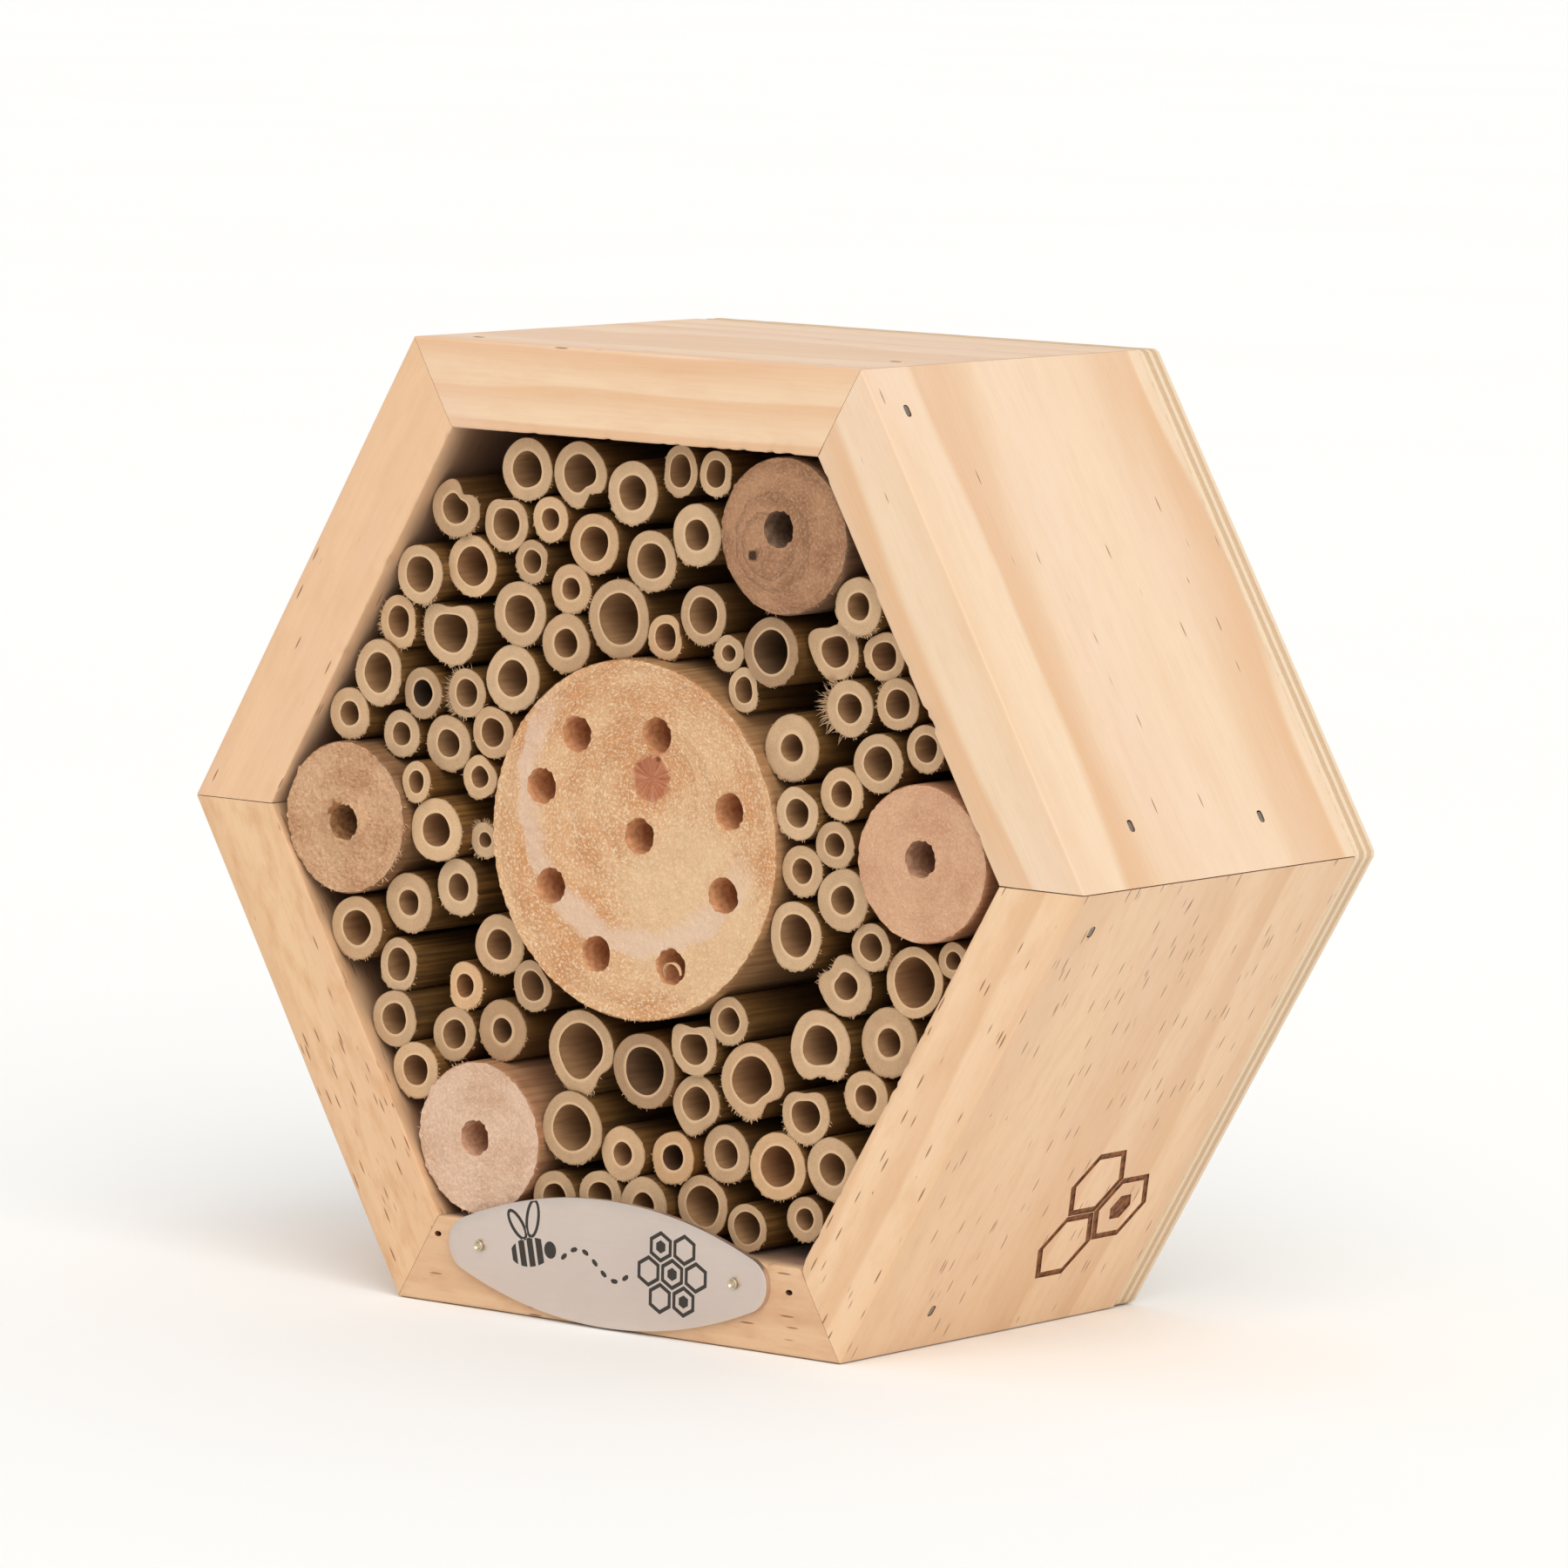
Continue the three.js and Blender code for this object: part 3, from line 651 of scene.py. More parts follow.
# %% Plywood
def plywood():
    material, tree, surface = blank("birch_plywood", Roughness=0.7)
    place = add(tree, "Attribute", {}, attribute_name="sheet")["Vector"]
    parts = add(tree, "SeparateXYZ", {0: place})
    ply = add(tree, "Math", {0: parts["Y"], 1: 1 / 1.2}, **TIMES)[0]
    fuzz = add(tree, "TexNoise", {"Vector": place, "Scale": 0.5, "Detail": 4.0})["Fac"]
    ply = add(tree, "Math", {0: fuzz, 1: 0.22, 2: ply}, **TIMES_PLUS)[0]
    half = add(tree, "Math", {0: ply, 1: 0.5}, **TIMES)[0]
    beat = add(tree, "Math", {0: half}, operation="FRACT")[0]
    crossed = add(tree, "MapRange", {0: beat, 1: 0.47, 2: 0.53}, **SMOOTH)[0]
    glue = add(tree, "Math", {0: ply, 1: 1.0}, operation="PINGPONG")[0]
    line = add(tree, "MapRange", {0: glue, 1: 0.0, 2: 0.1, 3: 0.45, 4: 0.0})[0]
    fine = add(tree, "VectorMath", {0: place, 1: (1.6, 0.6, 1.6)}, **TIMES)[0]
    pore = add(tree, "TexNoise", {"Vector": fine, "Scale": 1.0, "Detail": 5.0, "Roughness": 0.7})["Fac"]
    end = add(tree, "Mix", {0: pore, 6: linear("#D6B896"), 7: linear("#C29F7B")}, **RGB)[2]
    side = add(tree, "Mix", {0: pore, 6: linear("#E8D3B7"), 7: linear("#DDC4A3")}, **RGB)[2]
    edge = add(tree, "Mix", {0: crossed, 6: side, 7: end}, **RGB)[2]
    edge = add(tree, "Mix", {0: line, 6: edge, 7: linear("#977D64")}, **RGB)[2]
    # The face veneer: arches from a very flat cut through the rings.
    arch = add(tree, "VectorMath", {0: place, 1: (1 / 11, 0, 1 / 75)}, **TIMES)[0]
    wave = add(tree, "TexNoise", {"Vector": arch, "Scale": 1.0, "Detail": 1.0})["Fac"]
    rings = add(tree, "Math", {0: wave, 1: 13.0}, **TIMES)[0]
    season = add(tree, "Math", {0: rings}, operation="FRACT")[0]
    late = add(tree, "MapRange", {0: season, 1: 0.4, 2: 1.0, 3: 0.0, 4: 0.75})[0]
    streak = add(tree, "VectorMath", {0: place, 1: (1 / 0.45, 0, 1 / 22)}, **TIMES)[0]
    vessel = add(tree, "TexNoise", {"Vector": streak, "Scale": 1.0, "Detail": 4.0})["Fac"]
    veneer = add(tree, "Mix", {0: late, 6: linear("#E5D0B1"), 7: linear("#D4B189")}, **RGB)[2]
    tone = add(tree, "MapRange", {0: vessel, 1: 0.3, 2: 0.7, 3: 0.93, 4: 1.04})[0]
    veneer = add(tree, "Mix", {0: 1.0, 6: veneer, 7: tone}, **TINT)[2]
    facing = add(tree, "Attribute", {}, attribute_name="facing")["Fac"]
    colour = add(tree, "Mix", {0: facing, 6: edge, 7: veneer}, **RGB)[2]
    tree.links.new(colour, surface["Base Color"])
    rough = add(tree, "Mix", {0: facing, 2: pore, 3: vessel})[0]
    bump = add(tree, "Bump", {"Height": rough, "Distance": 0.06 * MM, "Strength": 0.7})["Normal"]
    tree.links.new(bump, surface["Normal"])
    return material


PLYWOOD = plywood()
print("plywood ready")

# %% [markdown]
# The panel is sawn to the same hexagon as the boards. A saw leaves each ply's edge at a
# slightly different height, so the loft has a ring at every glue line. Behind the keyhole
# of the hanger a shallow pocket is bored, and brads go in all round.

# %% Saw the back panel
PLATE_LOW, PLATE_HIGH = span_of("hanger_plate")
HANGER_Z = (PLATE_LOW[2] + PLATE_HIGH[2]) / 2
BACK = panel_high[1]
PLY = (BACK - panel_low[1]) / 5
POCKET_RADIUS, POCKET_DEPTH = 6.0, 4.5  # room for the head of the wall's screw
PILOT_RADIUS, PILOT_DEPTH = 1.3, 7  # holes drilled for the hanger's own screws
HANGER_SCREWS = ("hanger_screw_left", "hanger_screw_right")


def hexagon(side, inset, step=2.0):
    """The panel's outline in X and Z, drawn in by `inset`, with corners eased by 0.6 mm."""
    reach = side - inset * 2 / math.sqrt(3)
    corners = np.array([(reach * math.cos(a), reach * math.sin(a)) for a in np.arange(6) * math.pi / 3])
    dense = []
    for here, there in zip(corners, np.roll(corners, -1, axis=0)):
        way = (there - here) / np.hypot(*(there - here))
        start, stop = here + way * 0.6, there - way * 0.6
        parts = round(np.hypot(*(stop - start)) / step)
        dense += [start + (stop - start) * i / parts for i in range(parts + 1)]
    return np.array(dense)


def hole_cutter(name, x, radius, depth):
    """What cuts a round hole into the back of the panel, at the hanger's height."""
    rings = [upright_ring(x, y, HANGER_Z, radius, radius, 32) for y in (BACK - depth, BACK + 1)]
    vertices, faces = loft(rings)
    return piece(name, vertices, faces, [PLYWOOD])


def back_panel():
    levels = [(panel_low[1] - 0.15, 0.3), (panel_low[1] + 0.1, 0.05)]
    for i in range(1, 5):
        y = panel_low[1] + i * PLY
        levels += [(y - 0.06, 0.03 + 0.05 * (i % 2)), (y + 0.06, 0.08 - 0.05 * (i % 2))]
    levels += [(BACK - 0.25, 0.05), (BACK, 0.3)]
    rings = []
    for y, inset in levels:
        loop = hexagon(SIDE, inset)
        flat = np.stack([loop[:, 0], np.full(len(loop), y), loop[:, 1]], axis=1)
        rough = 1 - 0.0006 * (1 + ripple(flat, 1.6, 9))[:, None]
        rings.append(CENTRE + flat * np.hstack([rough, np.ones_like(rough), rough]))
    vertices, faces = loft(rings)
    made = piece("plywood_back", vertices, faces, [PLYWOOD])
    cutters = [hole_cutter("pocket", 0, POCKET_RADIUS, POCKET_DEPTH)]
    for node in HANGER_SCREWS:
        low, high = span_of(node)
        cutters.append(hole_cutter(node, (low[0] + high[0]) / 2, PILOT_RADIUS, PILOT_DEPTH))
    carve(made, cutters)
    points = mesh_points(made)
    give(made, "sheet", points - [0, panel_low[1], CENTRE[2]])
    on_face = (points[:, 1] > BACK - 0.2) | (points[:, 1] < panel_low[1])
    give(made, "facing", on_face.astype(float))
    fit(made, "plywood", "back_panel")
    return made


back_panel()
print("panel", round(BACK - panel_low[1], 1), "mm thick")

# %% [markdown]
# The brads that hold the panel run straight in, two to a side and one near each corner.
# Their heads lie along the edge that they follow.

# %% Brads in the panel
def panel_brad(k, along):
    outwards, clockwise = axes_of(k)
    middle = CENTRE + outwards * (APOTHEM - THICKNESS / 2) + clockwise * along
    rings = []
    for scale, outline, y in ((0.35, HEAD, BACK + 0.04), (0.95, HEAD, BACK + 0.02), (1.0, HEAD, BACK - 0.5),
                              (1.0, SHANK, BACK - 0.9), (1.0, SHANK, BACK - 20), (0.15, SHANK, BACK - 21)):
        rings.append(middle + scale * (outline[:, :1] * clockwise + outline[:, 1:] * outwards) + [0, y, 0])
    vertices, faces = loft(rings)
    made = piece(f"panel_brad_{SIDES[k]}_{'a' if along < 0 else 'b'}", vertices, faces, [WIRE])
    fit(made, "zinc_steel")


for k in range(6):
    for along in (-31.0 + 1.7 * k, 33.0 - 1.1 * k):
        panel_brad(k, along)
print("12 panel brads")

# %% [markdown]
# The hanger is a stamped plate with rounded ends and a keyhole: the wall screw's head goes
# through the round part, and its shank rises into the slot. Two pan-head screws with a
# cross recess hold the plate.

# %% The hanger plate and its screws
HEAD_RADIUS, SLOT_RADIUS, KEYHOLE_RISE = 3.5, 1.8, 4.5
SCREW_REACH = 14  # from the middle of the plate to each screw


def loop_of(parts):
    return np.array([p for part in parts for p in part])


def arc(x, z, radius, start, stop, steps):
    turns = np.radians(np.linspace(start, stop, steps))
    return [(x + radius * math.cos(a), z + radius * math.sin(a)) for a in turns]


def drawn_in(loop, distance):
    """A loop moved inwards, or outwards where the distance is negative."""
    way = np.roll(loop, -1, axis=0) - np.roll(loop, 1, axis=0)
    way /= np.hypot(*way.T)[:, None]
    area = np.sum(loop[:, 0] * np.roll(loop[:, 1], -1) - np.roll(loop[:, 0], -1) * loop[:, 1])
    return loop + distance * math.copysign(1, area) * np.stack([-way[:, 1], way[:, 0]], axis=1)


def plate(name, outline, holes, marks, front, back, bevel, materials, spacing, to_front=True):
    """A plate that lies in X and Z, with a bevel round the edge that shows. Triangles
    inside an odd number of marks take the second material."""
    shown, hidden, ease = (front, back, bevel) if to_front else (back, front, -bevel)
    inner = drawn_in(outline, bevel)
    flat, faces, borders = sheet(inner, [drawn_in(h, -bevel) for h in holes], marks, spacing, 5)
    vertices = [(x, shown, z) for x, z in flat]
    middles = flat[np.array(faces)].mean(axis=1)
    nested = [inside(middles, np.asarray(mark)).astype(int) for mark in marks]
    slots = list(sum(nested, np.zeros(len(faces), int)) % 2)
    lasts = []
    for border, loop in zip(borders, [outline, *holes]):
        before = border
        for y in (shown + ease * 0.6, hidden):
            now = list(range(len(vertices), len(vertices) + len(loop)))
            vertices += [(x, y, z) for x, z in loop]
            faces += band(before, now)
            slots += [0] * len(loop)
            before = now
        lasts.append(before)
    flat, rear, rims = sheet(outline, holes, [], spacing * 3, 6)
    number = {rims[i][j]: lasts[i][j] for i in range(len(rims)) for j in range(len(rims[i]))}
    start = len(vertices)
    fresh = [i for i in range(len(flat)) if i not in number]
    vertices += [(flat[i][0], hidden, flat[i][1]) for i in fresh]
    number.update({old: start + new for new, old in enumerate(fresh)})
    faces += [[number[i] for i in face] for face in rear]
    slots += [0] * len(rear)
    return piece(name, np.array(vertices), faces, materials, slots)


def hanger():
    half = (PLATE_HIGH[0] - PLATE_LOW[0]) / 2
    radius = (PLATE_HIGH[2] - PLATE_LOW[2]) / 2
    reach = half - radius
    outline = loop_of([
        arc(reach, HANGER_Z, radius, -90, 90, 24),
        arc(-reach, HANGER_Z, radius, 90, 270, 24),
    ])
    low, high = HANGER_Z - KEYHOLE_RISE / 2, HANGER_Z + KEYHOLE_RISE / 2
    corner = math.degrees(math.asin(SLOT_RADIUS / HEAD_RADIUS))
    keyhole = loop_of([
        arc(0, low, HEAD_RADIUS, 90 + corner, 450 - corner, 30),
        arc(0, high, SLOT_RADIUS, 0, 180, 12),
    ])
    screws = [loop_of([arc(x, HANGER_Z, 1.7, 0, 345, 24)]) for x in (-SCREW_REACH, SCREW_REACH)]
    made = plate("keyhole_plate", outline, [keyhole, *screws], [], PLATE_LOW[1] - 0.25, PLATE_HIGH[1],
                 0.25, [ZINC], 1.5, to_front=False)
    fit(made, "zinc_steel", "hanger_plate")


def pan_screw(node):
    low, high = span_of(node)
    x, radius, top = (low[0] + high[0]) / 2, (high[0] - low[0]) / 2, high[1]
    # Shares of the head's radius, and depths below its top.
    profile = [(0.15, 0.0), (0.5, 0.03), (0.8, 0.2), (0.95, 0.48), (1.0, 0.85), (0.98, 1.35), (0.5, 1.45)]
    profile += [(0.5, 4.0), (0.49, 11.0), (0.1, 13.9)]
    rings = [upright_ring(x, top - depth, HANGER_Z, share * radius, share * radius, 40)
             for share, depth in profile]
    vertices, faces = loft(rings)
    made = piece(f"pan_{node}", vertices, faces, [ZINC])
    slots = []
    for turn in (0.4, 0.4 + math.pi / 2):
        way, side = np.array([math.cos(turn), math.sin(turn)]), np.array([-math.sin(turn), math.cos(turn)])
        loop = [way * a + side * b for a, b in ((-1.5, -0.28), (1.5, -0.28), (1.5, 0.28), (-1.5, 0.28))]
        rings = [
            [(x + share * a, top - depth, HANGER_Z + share * b) for a, b in loop]
            for share, depth in ((1.3, -0.5), (0.5, 0.95))
        ]
        cutter, faces = loft(rings)
        slots.append(piece("cross", cutter, faces, [ZINC]))
    carve(made, slots)
    fit(made, "zinc_steel", node)


hanger()
for node in HANGER_SCREWS:
    pan_screw(node)
print("hanger at", round(HANGER_Z, 1), "mm up")

# %% [markdown]
# ## The plaque
#
# A pointed oval stamped from 1 mm stainless steel, with a satin finish that scatters the
# light evenly. Its sheared edge is brighter than its face. The sign on it is laser-marked:
# the beam grows a dark oxide film and leaves the surface level, so the sign is its own
# faces with their own material, and isn't cut in. It shows a bee on its way to a comb.

# %% Satin stainless steel and its laser mark
def satin_steel():
    material, tree, surface = blank("satin_stainless_steel", Metallic=1.0)
    place = add(tree, "TexCoord", {})["Object"]
    # Brushed along X: streaks 0.25 mm wide and some 8 mm long.
    brush = add(tree, "VectorMath", {0: place, 1: (125, 4000, 4000)}, **TIMES)[0]
    streak = add(tree, "TexNoise", {"Vector": brush, "Scale": 1.0, "Detail": 4.0})["Fac"]
    cloud = add(tree, "TexNoise", {"Vector": place, "Scale": 60.0, "Detail": 3.0})["Fac"]
    tint = add(tree, "Mix", {0: cloud, 6: linear("#E0D3C9"), 7: linear("#D4C5BB")}, **RGB)[2]
    tone = add(tree, "MapRange", {0: streak, 1: 0.3, 2: 0.7, 3: 0.97, 4: 1.02})[0]
    tint = add(tree, "Mix", {0: 1.0, 6: tint, 7: tone}, **TINT)[2]
    tree.links.new(tint, surface["Base Color"])
    shine = add(tree, "MapRange", {0: streak, 1: 0.3, 2: 0.7, 3: 0.42, 4: 0.52})[0]
    tree.links.new(shine, surface["Roughness"])
    bump = add(tree, "Bump", {"Height": streak, "Distance": 0.01 * MM})["Normal"]
    tree.links.new(bump, surface["Normal"])
    return material


def laser_mark():
    material, tree, surface = blank("laser_darkened_steel", Metallic=0.35)
    place = add(tree, "TexCoord", {})["Object"]
    grain = add(tree, "TexNoise", {"Vector": place, "Scale": 1 / (0.4 * MM), "Detail": 3.0})["Fac"]
    tint = add(tree, "Mix", {0: grain, 6: linear("#2A2622"), 7: linear("#463F38")}, **RGB)[2]
    tree.links.new(tint, surface["Base Color"])
    shine = add(tree, "MapRange", {0: grain, 3: 0.5, 4: 0.7})[0]
    tree.links.new(shine, surface["Roughness"])
    return material


SATIN, MARKED = satin_steel(), laser_mark()
print("satin steel and its mark ready")

# %% [markdown]
# The sign is drawn as closed loops. Where loops nest, every second one turns the colour
# back, so a ring is one loop inside another.

# %% Draw the sign
def oval(x, z, wide, high, lean, start=0, stop=360, steps=28):
    turns = np.radians(np.linspace(start, stop, steps, endpoint=stop - start < 360))
    flat = np.stack([wide * np.cos(turns), high * np.sin(turns)], axis=1)
    lean = math.radians(lean)
    spin = np.array([[math.cos(lean), math.sin(lean)], [-math.sin(lean), math.cos(lean)]])
    return flat @ spin + [x, z]


def bee(x, z, lean):
    """Four body stripes, a head and two open wings."""
    spin = 1.3 * np.array([[math.cos(lean), math.sin(lean)], [-math.sin(lean), math.cos(lean)]])
    loops = []
    for left, right in ((-3.3, -2.45), (-1.95, -0.9), (-0.45, 0.6), (1.05, 2.15)):
        reach = np.linspace(left, right, 7)
        high = 2.0 * np.sqrt(1 - (reach / 3.6) ** 2)
        loops.append(np.array([*zip(reach, high), *zip(reach[::-1], -high[::-1])]) @ spin + [x, z])
    loops.append(oval(3.5, 0, 1.05, 1.2, 0) @ spin + [x, z])
    for tilt, wide, high in ((118, 2.5, 1.15), (72, 2.8, 1.25)):
        away = 2.0 + wide
        foot = (away * math.cos(math.radians(tilt)) * 0.8, away * math.sin(math.radians(tilt)))
        loops.append(oval(*foot, wide, high, tilt) @ spin + [x, z])
        loops.append(oval(*foot, wide - 0.5, high - 0.5, tilt) @ spin + [x, z])
    return loops


def stroke(line, width):
    """A loop round a line that tapers at its ends."""
    line = np.asarray(line)
    way = np.gradient(line, axis=0)
    way /= np.hypot(*way.T)[:, None]
    side = np.stack([-way[:, 1], way[:, 0]], axis=1) * width / 2
    steps = np.arange(len(line))
    taper = np.clip(np.minimum(steps, steps[::-1]) / 1.5 + 0.25, 0, 1)[:, None]
    return np.vstack([line + side * taper, (line - side * taper)[::-1]])


def sign(x, z):
    loops = bee(x - 17.0, z + 0.2, 0.2)
    trail = np.linspace(0, 1, 200)
    # The bee's path rises and dips on its way to the comb.
    path = np.stack([x - 10.2 + 16.6 * trail, z - 0.4 + 2.4 * np.sin(2 * math.pi * trail)], axis=1)
    far = np.concatenate([[0], np.cumsum(np.hypot(*np.diff(path, axis=0).T))])
    for start in np.arange(0.3, far[-1] - 1.5, 2.7):
        at = np.linspace(start, start + 1.6, 6)
        dash = [np.interp(at, far, path[:, 0]), np.interp(at, far, path[:, 1])]
        loops.append(stroke(np.stack(dash, axis=1), 0.85))
    turns = np.arange(6) * math.pi / 3 + math.pi / 6
    for column, row in ((0, 0), (1, 0), (2, 0), (0.5, 1), (1.5, 1), (0.5, -1), (1.5, -1)):
        cx, cz = x + 9.8 + column * 5.3, z + row * 4.6
        for size in (2.85, 2.05):
            loops.append(np.stack([cx + size * np.cos(turns), cz + size * np.sin(turns)], axis=1))
        if (column, row) in ((1, 0), (0.5, 1), (1.5, -1)):
            loops.append(np.stack([cx + 1.2 * np.cos(turns), cz + 1.2 * np.sin(turns)], axis=1))
    return loops


plaque_low, plaque_high = span_of("plaque")
PLAQUE_X, PLAQUE_Z = (plaque_low[0] + plaque_high[0]) / 2, (plaque_low[2] + plaque_high[2]) / 2
print(len(sign(PLAQUE_X, PLAQUE_Z)), "loops in the sign")

# %% [markdown]
# The oval is two wide arcs that run into a small round tip at each end. Its two pins are
# brass, with small hollow heads.

# %% Stamp the plaque
TIP = 5.0  # radius of the plaque's ends


def pointed_oval():
    reach = (plaque_high[0] - plaque_low[0]) / 2 - TIP
    high = plaque_high[2] - plaque_low[2]
    wide = (reach**2 + high**2 / 4 - TIP**2) / (high - 2 * TIP)
    below = wide - high / 2
    edge = math.degrees(math.atan2(below, reach))
    x, z = PLAQUE_X, PLAQUE_Z
    return loop_of([
        arc(x, z - below, wide, edge, 180 - edge, 60)[:-1],
        arc(x - reach, z, TIP, 180 - edge, 180 + edge, 16)[:-1],
        arc(x, z + below, wide, 180 + edge, 360 - edge, 60)[:-1],
        arc(x + reach, z, TIP, -edge, edge, 16)[:-1],
    ])


def pin(node):
    low, high = span_of(node)
    x, z, radius = (low[0] + high[0]) / 2, (low[2] + high[2]) / 2, (high[2] - low[2]) / 2
    # Shares of the head's radius, and depths behind its front: a rolled rim, then the shank.
    profile = [(0.12, 0.42), (0.5, 0.4), (0.72, 0.12), (0.86, 0.0), (1.0, 0.1), (1.0, 0.5), (0.5, 0.62)]
    profile += [(0.5, 9.0), (0.1, 11.5)]
    rings = [upright_ring(x, low[1] + 0.25 + depth, z, share * radius, share * radius, 28)
             for share, depth in profile]
    vertices, faces = loft(rings)
    made = piece(f"brass_{node}", vertices, faces, [BRASS])
    fit(made, "brass_pin", node)
    return x, z


pins = [pin("plaque_pin_left"), pin("plaque_pin_right")]
holes = [loop_of([arc(x, z, 0.7, 0, 330, 12)]) for x, z in pins]
plaque = plate("steel_plaque", pointed_oval(), holes, sign(PLAQUE_X, PLAQUE_Z),
               plaque_low[1], plaque_high[1] + 0.25, 0.22, [SATIN, MARKED], 1.6)
fit(plaque, "plaque_steel", "plaque")
print("plaque:", len(plaque.data.polygons), "faces")

# %% [markdown]
# ## Logs
#
# A sawn end shows the tree's rings face on. A coarse blade tears the fibres, so the face is
# fuzzy, with pale tufts and darker pits about half a millimetre across. Each log was
# peeled, which leaves its side smooth and tan with fine lines along it. The drill burnishes
# the walls of its holes to a redder brown.
#
# Each vertex keeps three numbers: its place across the log, its place up it, and how many
# millimetres of growth lie between it and the pith. A log whose pith is off centre has
# rings that crowd to one side, and that last number takes care of it.

# %% Sawn ends
def sawn_end(name, pale, warm, dark, fleck, ring_gap, ring_share, tuft_share):
    material, tree, surface = blank(name, Roughness=0.9, Specular_IOR_Level=0.25)
    place = add(tree, "Attribute", {}, attribute_name="log")["Vector"]
    parts = add(tree, "SeparateXYZ", {0: place})
    growth = parts["Z"]
    # Rings crowd and wander a little with the seasons.
    soft = add(tree, "TexNoise", {"Vector": place, "Scale": 0.12, "Detail": 3.0})["Fac"]
    bent = add(tree, "Math", {0: soft, 1: 4.0, 2: growth}, **TIMES_PLUS)[0]
    years = add(tree, "Math", {0: bent, 1: 1 / ring_gap}, **TIMES)[0]
    season = add(tree, "Math", {0: years}, operation="FRACT")[0]
    late = add(tree, "MapRange", {0: season, 1: 0.1, 2: 0.95}, **SMOOTH)[0]
    year = add(tree, "Math", {0: years}, operation="FLOOR")[0]
    vigour = add(tree, "TexWhiteNoise", {"W": year}, noise_dimensions="1D")["Value"]
    share = add(tree, "Math", {0: late, 1: vigour}, **TIMES)[0]
    share = add(tree, "Math", {0: share, 1: ring_share}, **TIMES)[0]
    broad = add(tree, "TexNoise", {"Vector": place, "Scale": 0.09, "Detail": 4.0})["Fac"]
    lean = add(tree, "MapRange", {0: broad, 1: 0.4, 2: 0.62})[0]
    colour = add(tree, "Mix", {0: lean, 6: linear(pale), 7: linear(warm)}, **RGB)[2]
    colour = add(tree, "Mix", {0: share, 6: colour, 7: linear(dark)}, **RGB)[2]
    # Tufts and pits.
    speck = {"Vector": place, "Scale": 1 / 0.6, "Detail": 5.0, "Roughness": 0.78}
    small = add(tree, "TexNoise", speck)["Fac"]
    tuft = add(tree, "MapRange", {0: small, 1: 0.48, 2: 0.64}, **SMOOTH)[0]
    tuft = add(tree, "Math", {0: tuft, 1: tuft_share}, **TIMES)[0]
    pit = add(tree, "MapRange", {0: small, 1: 0.32, 2: 0.46, 3: 0.36, 4: 0.0}, **SMOOTH)[0]
    colour = add(tree, "Mix", {0: tuft, 6: colour, 7: linear(fleck)}, **RGB)[2]
    colour = add(tree, "Mix", {0: pit, 6: colour, 7: linear(dark)}, **RGB)[2]
    return material, tree, surface, place, parts, colour, small


def finish_end(tree, surface, colour, small, height):
    tree.links.new(colour, surface["Base Color"])
    bump = add(tree, "Bump", {"Height": small, "Distance": height * MM, "Strength": 0.9})["Normal"]
    tree.links.new(bump, surface["Normal"])


def spot(tree, parts, x, z, radius, blur):
    """1 near a point of the end, falling to 0, with a ragged edge."""
    here = add(tree, "CombineXYZ", {"X": parts["X"], "Y": parts["Y"]})[0]
    away = add(tree, "VectorMath", {0: here, 1: (x, z, 0)}, operation="DISTANCE")["Value"]
    ragged = add(tree, "TexNoise", {"Vector": here, "Scale": 0.9, "Detail": 3.0})["Fac"]
    away = add(tree, "Math", {0: ragged, 1: blur, 2: away}, **TIMES_PLUS)[0]
    return add(
        tree, "MapRange", {0: away, 1: radius + blur * 0.3, 2: radius + blur * 0.8, 3: 1.0, 4: 0.0},
        **SMOOTH,
    )[0]


RED_PITH = (4.0, 11.3)  # where the big log's pith is, from the log's middle


